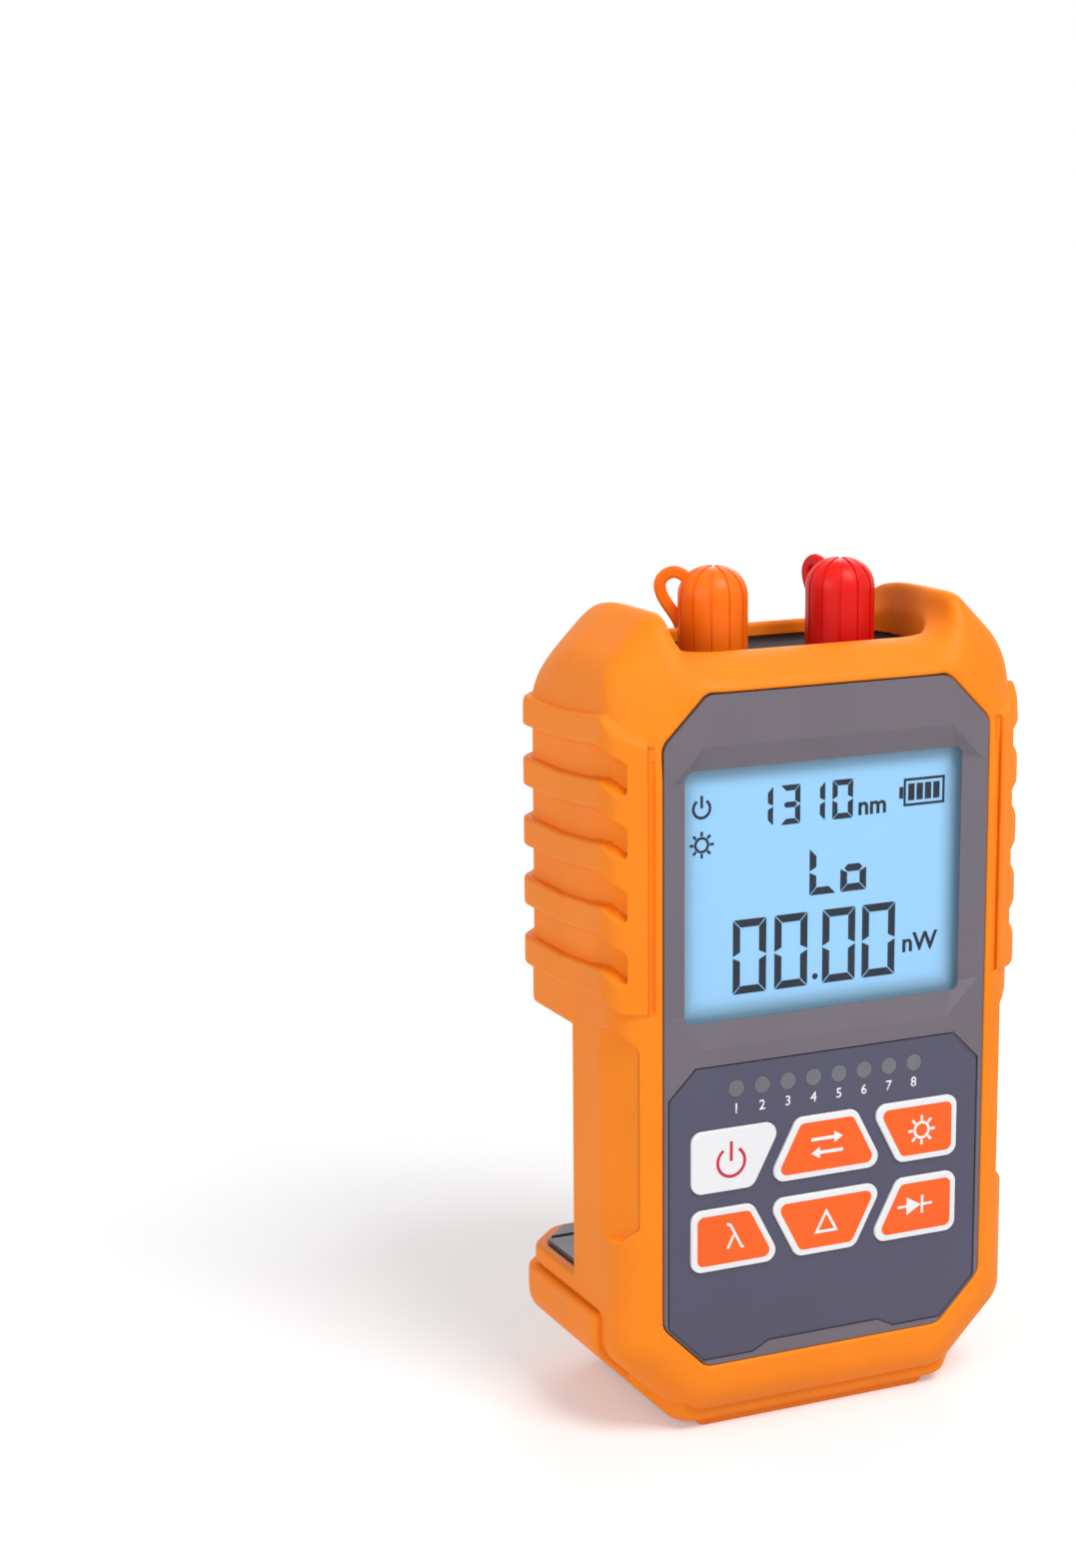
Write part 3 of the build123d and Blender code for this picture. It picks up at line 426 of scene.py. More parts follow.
def make_boot(material):
    """The rubber boot as one smooth piece, in place of the solid's plain one."""
    points, quads = surface_net(boot_field, GRID_LOW, GRID_HIGH, GRID_STEP)
    points = settle(boot_field, points, 3, 0.3)
    mesh = bpy.data.meshes.new("rubber_boot")
    mesh.from_pydata(points.tolist(), [], quads.tolist())
    mesh.validate()
    piece = link("rubber_boot", mesh)
    triangles = 2 * len(quads)
    if triangles > BOOT_TRIANGLES:
        thin = piece.modifiers.new("thin", "DECIMATE")
        thin.ratio = BOOT_TRIANGLES / triangles
        mesh = baked_mesh(piece)
        piece.modifiers.remove(thin)
        piece.data = mesh
    points = settle(boot_field, points_of(mesh), 2, 0.1)
    normals = gradient(boot_field, points)
    lengths = np.sqrt((normals**2).sum(axis=1))
    normals /= np.maximum(lengths, 1e-9)[:, None]
    places = (points - np.array([0, HALF_DEPTH, 0])) * MM
    mesh.vertices.foreach_set("co", places.ravel())
    mesh.update()
    mesh.polygons.foreach_set("use_smooth", [True] * len(mesh.polygons))
    mesh.normals_split_custom_set_from_vertices(normals.tolist())
    mesh.materials.append(material)
    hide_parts("boot")
    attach(piece, "housing")
    return piece


# Materials, with the heights of their grain in metres

FINE_GRAIN = 0.00004
FILM_GRAIN = 0.00002
GLASS_GRAIN = 0.00001
# The display window's middle and half size, and how wide the painted shade at its edge is
WINDOW_CENTRE = (0.0, 0.0884)
WINDOW_HALF = (0.02485, 0.0201)
WINDOW_SHADE = 0.0034


def linear(colour):
    """An sRGB colour from 0 to 255, as Blender's linear one."""
    values = [c / 255 for c in colour]
    return tuple(v / 12.92 if v <= 0.04045 else ((v + 0.055) / 1.055) ** 2.4 for v in values) + (1.0,)


def new_material(name):
    material = bpy.data.materials.new(name)
    material.use_nodes = True
    shader = material.node_tree.nodes["Principled BSDF"]
    return material, material.node_tree, shader


def noise(tree, scale, detail=3.0, rough=0.55, stretch=None):
    coordinates = tree.nodes.new("ShaderNodeTexCoord")
    texture = tree.nodes.new("ShaderNodeTexNoise")
    texture.inputs["Scale"].default_value = scale
    texture.inputs["Detail"].default_value = detail
    texture.inputs["Roughness"].default_value = rough
    source = coordinates.outputs["Object"]
    if stretch:
        mapping = tree.nodes.new("ShaderNodeMapping")
        mapping.inputs["Scale"].default_value = stretch
        tree.links.new(source, mapping.inputs["Vector"])
        source = mapping.outputs["Vector"]
    tree.links.new(source, texture.inputs["Vector"])
    return texture


def ramp(tree, source, low, high, start=0.35, end=0.65):
    """A colour ramp between two colours, driven by a texture."""
    node = tree.nodes.new("ShaderNodeValToRGB")
    node.color_ramp.elements[0].position = start
    node.color_ramp.elements[0].color = low
    node.color_ramp.elements[1].position = end
    node.color_ramp.elements[1].color = high
    tree.links.new(source, node.inputs["Fac"])
    return node


def spread(tree, source, low, high):
    """A number between two values, driven by a texture."""
    node = tree.nodes.new("ShaderNodeMapRange")
    node.inputs["From Min"].default_value = 0.3
    node.inputs["From Max"].default_value = 0.7
    node.inputs["To Min"].default_value = low
    node.inputs["To Max"].default_value = high
    tree.links.new(source, node.inputs["Value"])
    return node


def bump(tree, shader, source, strength, height):
    node = tree.nodes.new("ShaderNodeBump")
    node.inputs["Strength"].default_value = strength
    node.inputs["Distance"].default_value = height
    tree.links.new(source, node.inputs["Height"])
    tree.links.new(node.outputs["Normal"], shader.inputs["Normal"])
    return node


def moulded(name, colour, shade=0.93, roughness=(0.42, 0.55), grain=2600, strength=0.25, height=FINE_GRAIN,
            **fixed):
    """A moulded or painted surface: slight colour drift, uneven gloss and a fine grain."""
    material, tree, shader = new_material(name)
    broad = noise(tree, 60.0, 4.0)
    darker = tuple(c * shade for c in colour)
    tint = ramp(tree, broad.outputs["Fac"], linear(darker), linear(colour))
    tree.links.new(tint.outputs["Color"], shader.inputs["Base Color"])
    gloss = spread(tree, noise(tree, 240.0, 3.0).outputs["Fac"], *roughness)
    tree.links.new(gloss.outputs["Result"], shader.inputs["Roughness"])
    bump(tree, shader, noise(tree, grain, 2.0).outputs["Fac"], strength, height)
    for socket, value in fixed.items():
        shader.inputs[socket.replace("_", " ")].default_value = value
    return material


def brushed(name, colour, roughness=(0.22, 0.36), stretch=(400, 400, 4000)):
    """Turned or drawn metal with fine marks one way."""
    material, tree, shader = new_material(name)
    marks = noise(tree, 1.0, 4.0, stretch=stretch)
    tint = ramp(tree, marks.outputs["Fac"], linear(tuple(c * 0.85 for c in colour)), linear(colour))
    tree.links.new(tint.outputs["Color"], shader.inputs["Base Color"])
    gloss = spread(tree, marks.outputs["Fac"], *roughness)
    tree.links.new(gloss.outputs["Result"], shader.inputs["Roughness"])
    bump(tree, shader, marks.outputs["Fac"], 0.12, 0.00002)
    shader.inputs["Metallic"].default_value = 1.0
    return material


def make_board_green():
    """Solder mask with faint copper tracks under it."""
    material, tree, shader = new_material("board_green")
    coordinates = tree.nodes.new("ShaderNodeTexCoord")
    tracks = tree.nodes.new("ShaderNodeTexBrick")
    tracks.inputs["Scale"].default_value = 260.0
    tracks.inputs["Mortar Size"].default_value = 0.03
    tracks.inputs["Color1"].default_value = linear((20, 92, 52))
    tracks.inputs["Color2"].default_value = linear((24, 104, 60))
    tracks.inputs["Mortar"].default_value = linear((48, 132, 78))
    swap = tree.nodes.new("ShaderNodeMapping")
    swap.inputs["Rotation"].default_value = (math.pi / 2, 0, 0)
    tree.links.new(coordinates.outputs["Object"], swap.inputs["Vector"])
    tree.links.new(swap.outputs["Vector"], tracks.inputs["Vector"])
    tree.links.new(tracks.outputs["Color"], shader.inputs["Base Color"])
    bump(tree, shader, tracks.outputs["Fac"], 0.15, 0.00003)
    shader.inputs["Roughness"].default_value = 0.3
    return material


def edge_distance(tree, centre, half):
    """How far in from the edge of an upright rectangle a point lies, in metres."""
    coordinates = tree.nodes.new("ShaderNodeTexCoord")
    split = tree.nodes.new("ShaderNodeSeparateXYZ")
    tree.links.new(coordinates.outputs["Object"], split.inputs["Vector"])
    distances = []
    for socket, middle, reach in (("X", centre[0], half[0]), ("Z", centre[1], half[1])):
        offset = tree.nodes.new("ShaderNodeMath")
        offset.operation = "SUBTRACT"
        offset.inputs[1].default_value = middle
        tree.links.new(split.outputs[socket], offset.inputs[0])
        size = tree.nodes.new("ShaderNodeMath")
        size.operation = "ABSOLUTE"
        tree.links.new(offset.outputs[0], size.inputs[0])
        inward = tree.nodes.new("ShaderNodeMath")
        inward.operation = "SUBTRACT"
        inward.inputs[0].default_value = reach
        tree.links.new(size.outputs[0], inward.inputs[1])
        distances.append(inward)
    least = tree.nodes.new("ShaderNodeMath")
    least.operation = "SMOOTH_MIN"
    least.inputs[2].default_value = 0.002
    tree.links.new(distances[0].outputs[0], least.inputs[0])
    tree.links.new(distances[1].outputs[0], least.inputs[1])
    return least


def make_lcd():
    """Pale blue liquid crystal glass with painted shade: its colour darkens a little towards the window's
    edge, as if shaded by the recess, and the same colour also glows faintly.
    """
    material, tree, shader = new_material("lcd_glass")
    window = edge_distance(tree, WINDOW_CENTRE, WINDOW_HALF)
    # Painted shade: the colour runs from a darker blue at the window's edge to the plain blue over
    # WINDOW_SHADE, standing in for the recess's inner shadow
    painted_edge_shade = tree.nodes.new("ShaderNodeValToRGB")
    painted_edge_shade.color_ramp.interpolation = "EASE"
    painted_edge_shade.color_ramp.elements[0].position = 0.0
    painted_edge_shade.color_ramp.elements[0].color = linear((110, 152, 178))
    painted_edge_shade.color_ramp.elements[1].position = 1.0
    painted_edge_shade.color_ramp.elements[1].color = linear((142, 196, 236))
    reach = tree.nodes.new("ShaderNodeMapRange")
    reach.inputs["From Max"].default_value = WINDOW_SHADE
    tree.links.new(window.outputs[0], reach.inputs["Value"])
    tree.links.new(reach.outputs["Result"], painted_edge_shade.inputs["Fac"])
    tree.links.new(painted_edge_shade.outputs["Color"], shader.inputs["Base Color"])
    tree.links.new(painted_edge_shade.outputs["Color"], shader.inputs["Emission Color"])
    shader.inputs["Emission Strength"].default_value = 0.16
    shader.inputs["Roughness"].default_value = 0.35
    bump(tree, shader, noise(tree, 9000.0, 1.0).outputs["Fac"], 0.05, GLASS_GRAIN)
    return material


def make_clear(name, colour, alpha, roughness, gloss=0.5):
    """A clear moulding with faint wipe marks in its gloss."""
    material = moulded(name, colour, 0.98, roughness, 900, 0.03, GLASS_GRAIN)
    shader = material.node_tree.nodes["Principled BSDF"]
    shader.inputs["Alpha"].default_value = alpha
    shader.inputs["IOR"].default_value = 1.49
    shader.inputs["Specular IOR Level"].default_value = gloss
    return material


def make_materials():
    """The finish for each material slot of the record, and those of the flat marks."""
    return {
        "rubber_orange": moulded("rubber_orange", (255, 139, 24), 0.975, (0.46, 0.56), 1900, 0.10,
                                 Specular_IOR_Level=0.2),
        "plastic_grey": moulded("plastic_grey", (109, 101, 110), 0.96, (0.42, 0.52), 3200, 0.30),
        "plastic_grey_rear": moulded("plastic_grey_rear", (96, 90, 98), 0.94, (0.45, 0.55), 2600, 0.35),
        "plastic_black": moulded("plastic_black", (34, 30, 34), 0.9, (0.55, 0.65), 2600, 0.3,
                                 Specular_IOR_Level=0.03),
        "lens_clear": make_clear("lens_clear", (235, 244, 250), 0.015, (0.04, 0.07)),
        "lcd_glass": make_lcd(),
        "backlight_white": moulded("backlight_white", (232, 236, 240), 0.97, (0.5, 0.6)),
        "frame_white": moulded("frame_white", (214, 216, 218), 0.96, (0.45, 0.55)),
        "label_film": moulded("label_film", (76, 74, 97), 0.965, (0.40, 0.48), 5200, 0.18, FILM_GRAIN),
        "lamp_clear": moulded("lamp_clear", (108, 110, 117), 0.94, (0.18, 0.28), 900, 0.05),
        "silicone_grey": moulded("silicone_grey", (150, 152, 156), 0.95, (0.55, 0.65)),
        "dome_steel": brushed("dome_steel", (190, 190, 192)),
        "board_green": make_board_green(),
        "chip_black": moulded("chip_black", (34, 34, 37), 0.85, (0.5, 0.62), 4000, 0.4),
        "lamp_body": moulded("lamp_body", (224, 226, 214), 0.96, (0.2, 0.3)),
        "port_metal": brushed("port_metal", (178, 178, 182)),
        "detector_metal": brushed("detector_metal", (196, 186, 150)),
        "laser_brass": brushed("laser_brass", (196, 160, 84)),
        "torch_clear": make_clear("torch_clear", (84, 86, 90), 0.3, (0.08, 0.14), 0.08),
        "cap_orange": moulded("cap_orange", (255, 118, 14), 0.97, (0.36, 0.46), 2200, 0.12,
                              Specular_IOR_Level=0.22),
        "cap_red": moulded("cap_red", (236, 22, 16), 0.96, (0.36, 0.46), 2200, 0.12, Specular_IOR_Level=0.25),
        "jack_black": moulded("jack_black", (36, 36, 39), 0.9, (0.4, 0.55)),
        "contact_gold": brushed("contact_gold", (226, 184, 92)),
        "header_black": moulded("header_black", (30, 30, 32), 0.9, (0.45, 0.6)),
        "cover_grey": moulded("cover_grey", (104, 97, 104), 0.95, (0.45, 0.55), 2600, 0.35),
        "screw_steel": brushed("screw_steel", (170, 170, 174)),
        "contact_nickel": brushed("contact_nickel", (200, 198, 190)),
        "spring_steel": brushed("spring_steel", (184, 184, 188)),
        "key_white": moulded("key_white", (240, 240, 243), 0.98, (0.38, 0.46), 2600, 0.08, FILM_GRAIN),
        "key_orange": moulded("key_orange", (240, 240, 243), 0.98, (0.38, 0.46), 2600, 0.08, FILM_GRAIN),
        "cell_jacket": moulded("cell_jacket", (52, 92, 130), 0.94, (0.25, 0.35), 700, 0.06),
        "ink": moulded("lcd_ink", (30, 40, 56), 0.9, (0.5, 0.6), 3000, 0.05, Specular_IOR_Level=0.1),
        "print": moulded("print_white", (246, 246, 248), 0.98, (0.4, 0.5), 3000, 0.05),
        "fill": moulded("key_fill", (255, 104, 34), 0.97, (0.40, 0.50), 2600, 0.08, FILM_GRAIN,
                        Specular_IOR_Level=0.25),
        "red_print": moulded("print_red", (205, 34, 58), 0.96, (0.4, 0.5), 3000, 0.05),
    }


def node_slots():
    """Which material slot each solid's node takes, from the record."""
    slots = {}
    for entry in frame["record"]["subparts"]:
        slots[entry["node"]] = entry.get("material_slot") or entry.get("slot") or entry.get("material")
    return slots


# Flat pieces on the display, the label and the keys

def add_prism(bm, outline, front, back):
    """A flat shape with thickness, its outline given as (x, z)."""
    near = [bm.verts.new(at(x, front, z)) for x, z in outline]
    far = [bm.verts.new(at(x, back, z)) for x, z in outline]
    bm.faces.new(near)
    bm.faces.new(far[::-1])
    count = len(outline)
    for i in range(count):
        j = (i + 1) % count
        bm.faces.new((near[j], near[i], far[i], far[j]))


def add_band(bm, outer, inner, front, back):
    """A flat closed band between two outlines with the same number of points."""
    rows = []
    for outline, depth in ((outer, front), (inner, front), (inner, back), (outer, back)):
        rows.append([bm.verts.new(at(x, depth, z)) for x, z in outline])
    count = len(outer)
    for i in range(count):
        j = (i + 1) % count
        for a, b in zip(rows, rows[1:] + rows[:1]):
            bm.faces.new((a[i], a[j], b[j], b[i]))


def flat_piece(name, shapes, front, thickness, material, body):
    """One piece made of flat shapes: an outline, or a pair of outlines for a band."""
    bm = bmesh.new()
    for shape in shapes:
        if isinstance(shape, tuple):
            add_band(bm, shape[0], shape[1], front, front + thickness)
        else:
            add_prism(bm, shape, front, front + thickness)
    bmesh.ops.recalc_face_normals(bm, faces=bm.faces)
    mesh = bpy.data.meshes.new(name)
    bm.to_mesh(mesh)
    bm.free()
    mesh.materials.append(material)
    piece = link(name, mesh)
    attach(piece, body)
    return piece


def stroke(points, width):
    """The outline of a line drawn through the points, with mitred bends."""
    left = []
    right = []
    last = len(points) - 1
    for i, point in enumerate(points):
        here = Vector(point)
        before = (here - Vector(points[i - 1])).normalized() if i > 0 else None
        after = (Vector(points[i + 1]) - here).normalized() if i < last else None
        way = (before or after) if not (before and after) else (before + after).normalized()
        side = Vector((-way.y, way.x))
        reach = width / 2
        if before and after:
            reach = reach / max(abs(side.dot(Vector((-before.y, before.x)))), 0.3)
        left.append(tuple(here + side * reach))
        right.append(tuple(here - side * reach))
    return left + right[::-1]


def arc(cx, cz, radius, start, end, steps):
    """Points on an arc, angles in degrees from +X towards +Z."""
    turn = [math.radians(start + (end - start) * i / steps) for i in range(steps + 1)]
    return [(cx + radius * math.cos(t), cz + radius * math.sin(t)) for t in turn]


def disc(cx, cz, radius, steps=28):
    return arc(cx, cz, radius, 0, 360, steps)[:-1]


def ring(cx, cz, radius, width, steps=40):
    return (disc(cx, cz, radius + width / 2, steps), disc(cx, cz, radius - width / 2, steps))


def box_outline(x0, x1, z0, z1):
    return [(x0, z0), (x1, z0), (x1, z1), (x0, z1)]


def power_icon(cx, cz, radius, width):
    return [
        stroke(arc(cx, cz, radius, 125, 415, 40), width),
        box_outline(cx - width / 2, cx + width / 2, cz + radius * 0.05, cz + radius * 1.4),
    ]


def sun_icon(cx, cz, radius, width):
    """A ring with eight short rays."""
    shapes = [ring(cx, cz, radius * 0.52, width)]
    for index in range(8):
        turn = math.radians(45 * index)
        way = (math.cos(turn), math.sin(turn))
        ends = [(cx + way[0] * r, cz + way[1] * r) for r in (radius * 0.66, radius)]
        shapes.append(stroke(ends, width))
    return shapes


def bars_of_digit(x0, x1, z0, z1, width, gap):
    """The seven bars of a digit, by their usual letters, with mitred ends."""
    middle = (z0 + z1) / 2
    half = width / 2
    left = x0 + width + gap
    right = x1 - width - gap

    def upright(outer, inner, low, high):
        low_inner = low + (half if low == middle else width)
        high_inner = high - (half if high == middle else width)
        return [(outer, low + gap), (outer, high - gap), (inner, high_inner - gap), (inner, low_inner + gap)]

    return {
        "a": [(x0 + gap, z1), (x1 - gap, z1), (right, z1 - width), (left, z1 - width)],
        "b": upright(x1, x1 - width, middle, z1),
        "c": upright(x1, x1 - width, z0, middle),
        "d": [(x0 + gap, z0), (left, z0 + width), (right, z0 + width), (x1 - gap, z0)],
        "e": upright(x0, x0 + width, z0, middle),
        "f": upright(x0, x0 + width, middle, z1),
        "g": [
            (x0 + gap + half, middle), (left, middle + half), (right, middle + half),
            (x1 - gap - half, middle), (right, middle - half), (left, middle - half),
        ],
    }


DIGIT_BARS = {"0": "abcdef", "1": "bc", "3": "abcdg", "L": "def", "o": "cdeg"}


def digit(sign, x0, x1, z0, z1, width, gap):
    """The bars that show a sign on a seven-bar display."""
    bars = bars_of_digit(x0, x1, z0, z1, width, gap)
    return [bars[letter] for letter in DIGIT_BARS[sign]]


def word(name, text, x, z, height, front, thickness, material, body, weight=0.0):
    """Plain lettering centred on a point, facing the front."""
    curve = bpy.data.curves.new(name + "_curve", "FONT")
    curve.body = text
    curve.align_x = "CENTER"
    curve.offset = weight
    curve.resolution_u = 3
    source = link(name + "_source", curve)
    mesh = baked_mesh(source)
    bpy.data.objects.remove(source)
    bm = bmesh.new()
    bm.from_mesh(mesh)
    bmesh.ops.remove_doubles(bm, verts=bm.verts, dist=1e-5)
    xs = [v.co.x for v in bm.verts]
    ys = [v.co.y for v in bm.verts]
    scale = height / (max(ys) - min(ys))
    middle = Vector(((max(xs) + min(xs)) / 2, (max(ys) + min(ys)) / 2))
    for v in bm.verts:
        v.co = at(x + (v.co.x - middle.x) * scale, front, z + (v.co.y - middle.y) * scale)
    grown = bmesh.ops.extrude_face_region(bm, geom=list(bm.faces))
    for v in (g for g in grown["geom"] if isinstance(g, bmesh.types.BMVert)):
        v.co.y += thickness * MM
    bmesh.ops.recalc_face_normals(bm, faces=bm.faces)
    mesh.clear_geometry()
    bm.to_mesh(mesh)
    bm.free()
    mesh.materials.clear()
    mesh.materials.append(material)
    mesh.name = name
    piece = link(name, mesh)
    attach(piece, body)
    return piece


# The display's rows, as their lower and upper heights

LCD_FRONT = 3.24
LCD_INK = 0.05
READING_ROW = (71.8, 83.8)
LEVEL_ROW = (86.4, 94.0)
WAVELENGTH_ROW = (98.3, 104.6)


def make_lcd_marks(material):
    """The dark marks of the display."""
    def marks(name, shapes):
        flat_piece(name, shapes, LCD_FRONT, LCD_INK, material, "housing")

    shapes = []
    for x0, x1 in ((-15.5, -9.6), (-8.1, -2.2), (0.55, 6.5), (7.8, 13.85)):
        shapes += digit("0", x0, x1, *READING_ROW, 1.25, 0.13)
    shapes.append(disc(-0.75, 73.1, 0.5))
    marks("display_reading", shapes)
    shapes = []
    for sign, x0, x1 in (("1", -12.2, -8.55), ("3", -7.2, -3.7), ("1", -2.9, 0.75), ("0", 2.1, 5.8)):
        shapes += digit(sign, x0, x1, *WAVELENGTH_ROW, 0.9, 0.1)
    marks("display_wavelength", shapes)
    shapes = digit("L", -1.9, 2.9, *LEVEL_ROW, 1.2, 0.12) + digit("o", 3.7, 8.4, *LEVEL_ROW, 1.2, 0.12)
    marks("display_level", shapes)
    outline = (box_outline(15.1, 22.7, 99.2, 103.7), box_outline(15.5, 22.3, 99.6, 103.3))
    shapes = [outline, box_outline(14.3, 15.0, 100.5, 102.4)]
    for index in range(4):
        left = 15.95 + 1.55 * index
        shapes.append(box_outline(left, left + 1.15, 100.1, 102.8))
    marks("display_battery", shapes)
    marks("display_power_icon", power_icon(-21.06, 102.2, 1.45, 0.44))
    marks("display_light_icon", sun_icon(-21.04, 96.46, 2.1, 0.4))
    for text, x, z, height in (("nm", 9.35, 99.6, 2.1), ("nW", 18.6, 76.7, 3.1)):
        word("display_" + text.lower(), text, x, z, height, LCD_FRONT, LCD_INK, material,
             "housing", 0.02)


LABEL_FRONT = 0.55
LAMP_COUNT = 8
LAMP_PITCH = 4.63
NUMERAL_Z = 54.1
NUMERAL_HEIGHT = 1.65
PRINT_THICK = 0.03


def make_label_marks(material):
    """A numeral under each lamp window."""
    front = LABEL_FRONT - PRINT_THICK
    for index in range(LAMP_COUNT):
        x = (index - (LAMP_COUNT - 1) / 2) * LAMP_PITCH
        word(f"lamp_numeral_{index + 1}", str(index + 1), x, NUMERAL_Z, NUMERAL_HEIGHT, front, PRINT_THICK,
             material, "housing", 0.012)


# Keys: their white edge is the solid, and the fill and the symbol lie on it

KEY_FRONT = 0.1
FILL_THICK = 0.06
UPPER = (40.8, 51.1)
LOWER = (27.8, 38.1)
NARROW = 5.4
WIDE = 10.8
OUTER = 24.3
COLUMN_GAP = 2.5
KEY_EDGE = 1.05
FILL_CORNER = 1.1


def inset_outline(corners, distance):
    """A convex outline given counter-clockwise, moved in by a distance."""
    count = len(corners)
    lines = []
    for i in range(count):
        a = Vector(corners[i])
        way = (Vector(corners[(i + 1) % count]) - a).normalized()
        lines.append((a + Vector((-way.y, way.x)) * distance, way))
    result = []
    for i in range(count):
        p, u = lines[i - 1]
        q, v = lines[i]
        t = (q - p).cross(v) / u.cross(v)
        result.append(p + u * t)
    return result


def rounded_outline(corners, radius, steps=6):
    """The same outline with round corners."""
    count = len(corners)
    result = []
    for i in range(count):
        here = Vector(corners[i])
        back = (Vector(corners[i - 1]) - here).normalized()
        ahead = (Vector(corners[(i + 1) % count]) - here).normalized()
        half = math.acos(max(-1, min(1, back.dot(ahead)))) / 2
        centre = here + (back + ahead).normalized() * radius / math.sin(half)
        start = here + back * radius / math.tan(half) - centre
        turn = math.pi - 2 * half
        for k in range(steps + 1):
            spin = Matrix.Rotation(turn * k / steps, 2)
            result.append(tuple(centre + spin @ start))
    return result


def key_corners(column, row):
    """A key's sharp corners, counter-clockwise as seen from the front."""
    low, high = UPPER if row == "upper" else LOWER
    half_high, half_low = (NARROW, WIDE) if row == "upper" else (WIDE, NARROW)
    if column == 0:
        return [(-half_low, low), (half_low, low), (half_high, high), (-half_high, high)]
    right = [(half_low + COLUMN_GAP, low), (OUTER, low), (OUTER, high), (half_high + COLUMN_GAP, high)]
    if column > 0:
        return right
    return [(-x, z) for x, z in reversed(right)]


def arrow(x0, x1, z, width, head):
    """A straight arrow along X."""
    way = 1 if x1 > x0 else -1
    neck = x1 - way * head
    return [
        (x0, z - width / 2), (neck, z - width / 2), (neck, z - head * 0.6), (x1, z),
        (neck, z + head * 0.6), (neck, z + width / 2), (x0, z + width / 2),
    ]


def make_keys(materials):
    """Fills and symbols of the six keys."""
    symbols = {
        "unit_key": (0, "upper", [arrow(-2.9, 2.9, 47.1, 0.55, 1.6), arrow(2.9, -2.9, 44.8, 0.55, 1.6)]),
        "light_key": (1, "upper", sun_icon(17.6, 45.9, 2.5, 0.46)),
        "wavelength_key": (-1, "lower", [
            stroke([(-17.9, 31.2), (-16.86, 33.32)], 0.42),
            stroke([(-18.0, 35.35), (-17.4, 35.1), (-15.4, 31.3), (-15.0, 31.15)], 0.42),
        ]),
        "reference_key": (0, "lower", [(
            [(-2.2, 31.2), (2.2, 31.2), (0, 35.2)], [(-1.45, 31.66), (1.45, 31.66), (0, 34.3)],
        )]),
        "led_key": (1, "lower", [
            [(15.0, 31.7), (17.7, 33.2), (15.0, 34.7)], box_outline(17.7, 18.15, 31.7, 34.7),
            box_outline(13.3, 15.0, 32.99, 33.41), box_outline(18.15, 19.8, 32.99, 33.41),
        ]),
    }
    for name, (column, row, shapes) in symbols.items():
        inner = rounded_outline(inset_outline(key_corners(column, row), KEY_EDGE), FILL_CORNER)
        front = KEY_FRONT - FILL_THICK / 2
        body = name + "_body"
        flat_piece(name + "_fill", [inner], front, FILL_THICK, materials["fill"], body)
        flat_piece(name + "_symbol", shapes, front - PRINT_THICK, PRINT_THICK, materials["print"],
                   body)
    flat_piece("power_key_symbol", power_icon(-17.3, 45.6, 2.4, 0.52), KEY_FRONT - PRINT_THICK, PRINT_THICK,
               materials["red_print"], "power_key_body")


# Camera, light and floor, in metres

LENS = 65.54
YAW = math.radians(23.95)
PITCH = math.radians(11.385)
ROLL = math.radians(0.519)
CAMERA_PLACE = (-0.21899, -0.40181, 0.19310)
FLOOR_RADIUS = 6.0
FLOOR_SINK = 0.00002
GLOW_NEAR = 0.12
GLOW_FAR = 1.5


def make_camera():
    """The photograph's camera, solved from the bezel's corners."""
    data = bpy.data.cameras.new("camera")
    data.sensor_fit = "VERTICAL"
    data.sensor_height = 36.0
    data.lens = LENS
    data.clip_start = 0.01
    data.clip_end = 20.0
    camera = bpy.data.objects.new("camera", data)
    bpy.context.scene.collection.objects.link(camera)
    forward = Vector((math.sin(YAW) * math.cos(PITCH), math.cos(YAW) * math.cos(PITCH), -math.sin(PITCH)))
    right = Vector((math.cos(YAW), -math.sin(YAW), 0))
    down = forward.cross(right)
    across = math.cos(ROLL) * right + math.sin(ROLL) * down
    downward = -math.sin(ROLL) * right + math.cos(ROLL) * down
    matrix = Matrix((across, -downward, -forward)).transposed().to_4x4()
    matrix.translation = Vector(CAMERA_PLACE)
    camera.matrix_world = matrix
    bpy.context.scene.camera = camera


def area_light(name, place, target, size, power):
    """A round soft light that faces a target."""
    data = bpy.data.lights.new(name, "AREA")
    data.shape = "DISK"
    data.size = size
    data.energy = power
    lamp = bpy.data.objects.new(name, data)
    bpy.context.scene.collection.objects.link(lamp)
    lamp.location = place
    lamp.rotation_euler = (Vector(target) - Vector(place)).to_track_quat("-Z", "Y").to_euler()


def seen_directly(tree):
    """One where a ray comes from the camera, a reflection or glass."""
    path = tree.nodes.new("ShaderNodeLightPath")
    total = path.outputs["Is Camera Ray"]
    for name in ("Is Glossy Ray", "Is Transmission Ray"):
        add = tree.nodes.new("ShaderNodeMath")
        add.operation = "MAXIMUM"
        tree.links.new(total, add.inputs[0])
        tree.links.new(path.outputs[name], add.inputs[1])
        total = add.outputs[0]
    return total


def make_world(level):
    """An even white world that lights at a level and shows white."""
    world = bpy.data.worlds.new("studio")
    bpy.context.scene.world = world
    world.use_nodes = True
    tree = world.node_tree
    tree.nodes.clear()
    plain = tree.nodes.new("ShaderNodeBackground")
    plain.inputs["Color"].default_value = (1, 1, 1, 1)
    plain.inputs["Strength"].default_value = level
    shown = tree.nodes.new("ShaderNodeBackground")
    shown.inputs["Color"].default_value = (1, 1, 1, 1)
    mix = tree.nodes.new("ShaderNodeMixShader")
    output = tree.nodes.new("ShaderNodeOutputWorld")
    tree.links.new(seen_directly(tree), mix.inputs["Fac"])
    tree.links.new(plain.outputs[0], mix.inputs[1])
    tree.links.new(shown.outputs[0], mix.inputs[2])
    tree.links.new(mix.outputs[0], output.inputs["Surface"])


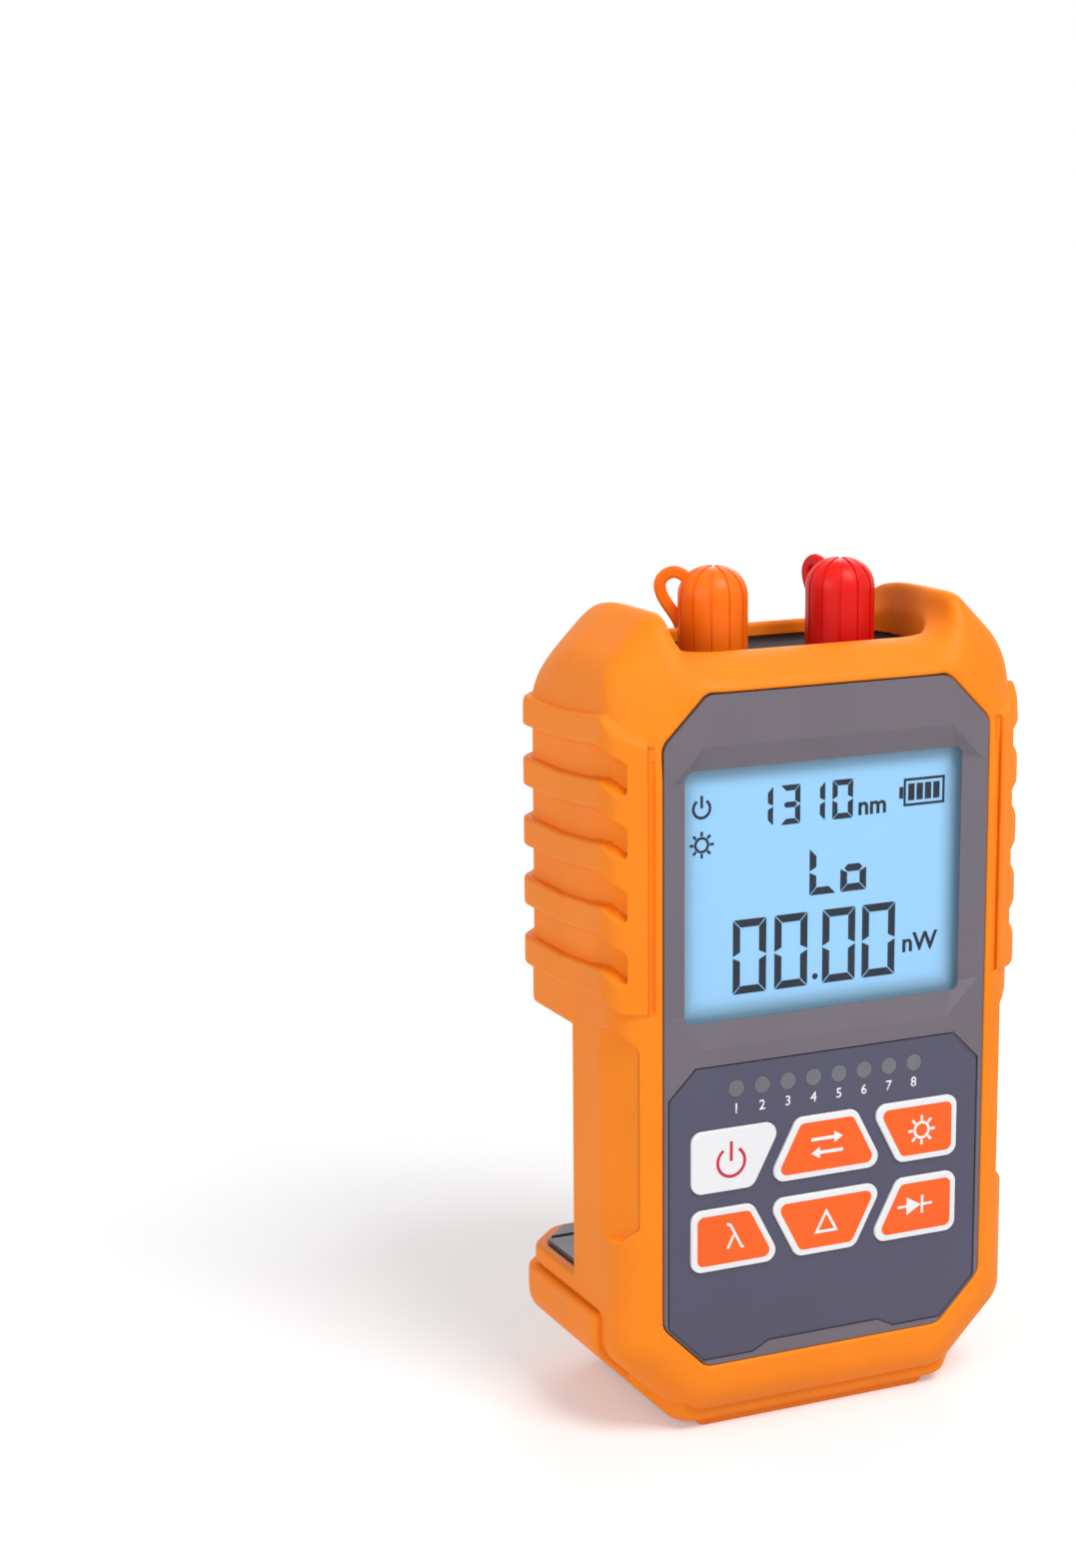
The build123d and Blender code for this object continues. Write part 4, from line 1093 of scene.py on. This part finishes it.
def make_floor(lift):
    """A pale floor that shows near white to the camera and keeps the object's shadow."""
    bm = bmesh.new()
    bmesh.ops.create_circle(bm, cap_ends=True, segments=96, radius=FLOOR_RADIUS)
    mesh = bpy.data.meshes.new("floor")
    bm.to_mesh(mesh)
    bm.free()
    floor = link("floor", mesh)
    floor.location.z = -FLOOR_SINK
    material, tree, shader = new_material("floor_paper")
    grain = noise(tree, 14.0, 3.0)
    tint = ramp(tree, grain.outputs["Fac"], (0.76, 0.76, 0.77, 1), (0.79, 0.79, 0.80, 1))
    tree.links.new(tint.outputs["Color"], shader.inputs["Base Color"])
    shader.inputs["Roughness"].default_value = 0.9
    shader.inputs["Specular IOR Level"].default_value = 0.0
    glow = tree.nodes.new("ShaderNodeMath")
    glow.operation = "MULTIPLY"
    place = tree.nodes.new("ShaderNodeTexCoord")
    reach = tree.nodes.new("ShaderNodeVectorMath")
    reach.operation = "LENGTH"
    tree.links.new(place.outputs["Object"], reach.inputs[0])
    rise = tree.nodes.new("ShaderNodeMapRange")
    rise.interpolation_type = "SMOOTHSTEP"
    rise.inputs["From Min"].default_value = GLOW_NEAR
    rise.inputs["From Max"].default_value = GLOW_FAR
    rise.inputs["To Min"].default_value = lift[0]
    rise.inputs["To Max"].default_value = lift[1]
    tree.links.new(reach.outputs["Value"], rise.inputs["Value"])
    tree.links.new(seen_directly(tree), glow.inputs[0])
    tree.links.new(rise.outputs["Result"], glow.inputs[1])
    tree.links.new(glow.outputs[0], shader.inputs["Emission Strength"])
    shader.inputs["Emission Color"].default_value = (1, 1, 1, 1)
    mesh.materials.append(material)


def make_light():
    """Three soft lights, the world and the floor."""
    middle = (0, 0, 0.07)
    area_light("key_light", (0.15, -0.6, 0.92), middle, 0.5, 7.0)
    area_light("side_light", (-0.95, -0.35, 0.4), middle, 0.6, 3.0)
    area_light("back_light", (0.5, 0.7, 0.6), middle, 0.6, 2.6)
    make_world(0.42)
    make_floor((0.26, 0.78))


def dress_solids(materials):
    """Gives every solid that stays its finish."""
    slots = node_slots()
    for name, solid in frame["nodes"].items():
        material = materials[slots[name]]
        for slot in solid.material_slots:
            slot.material = material


materials = make_materials()
dress_solids(materials)
make_boot(materials["rubber_orange"])
make_lcd_marks(materials["ink"])
make_label_marks(materials["print"])
make_keys(materials)
make_camera()
make_light()
bpy.context.scene.view_settings.view_transform = "Standard"
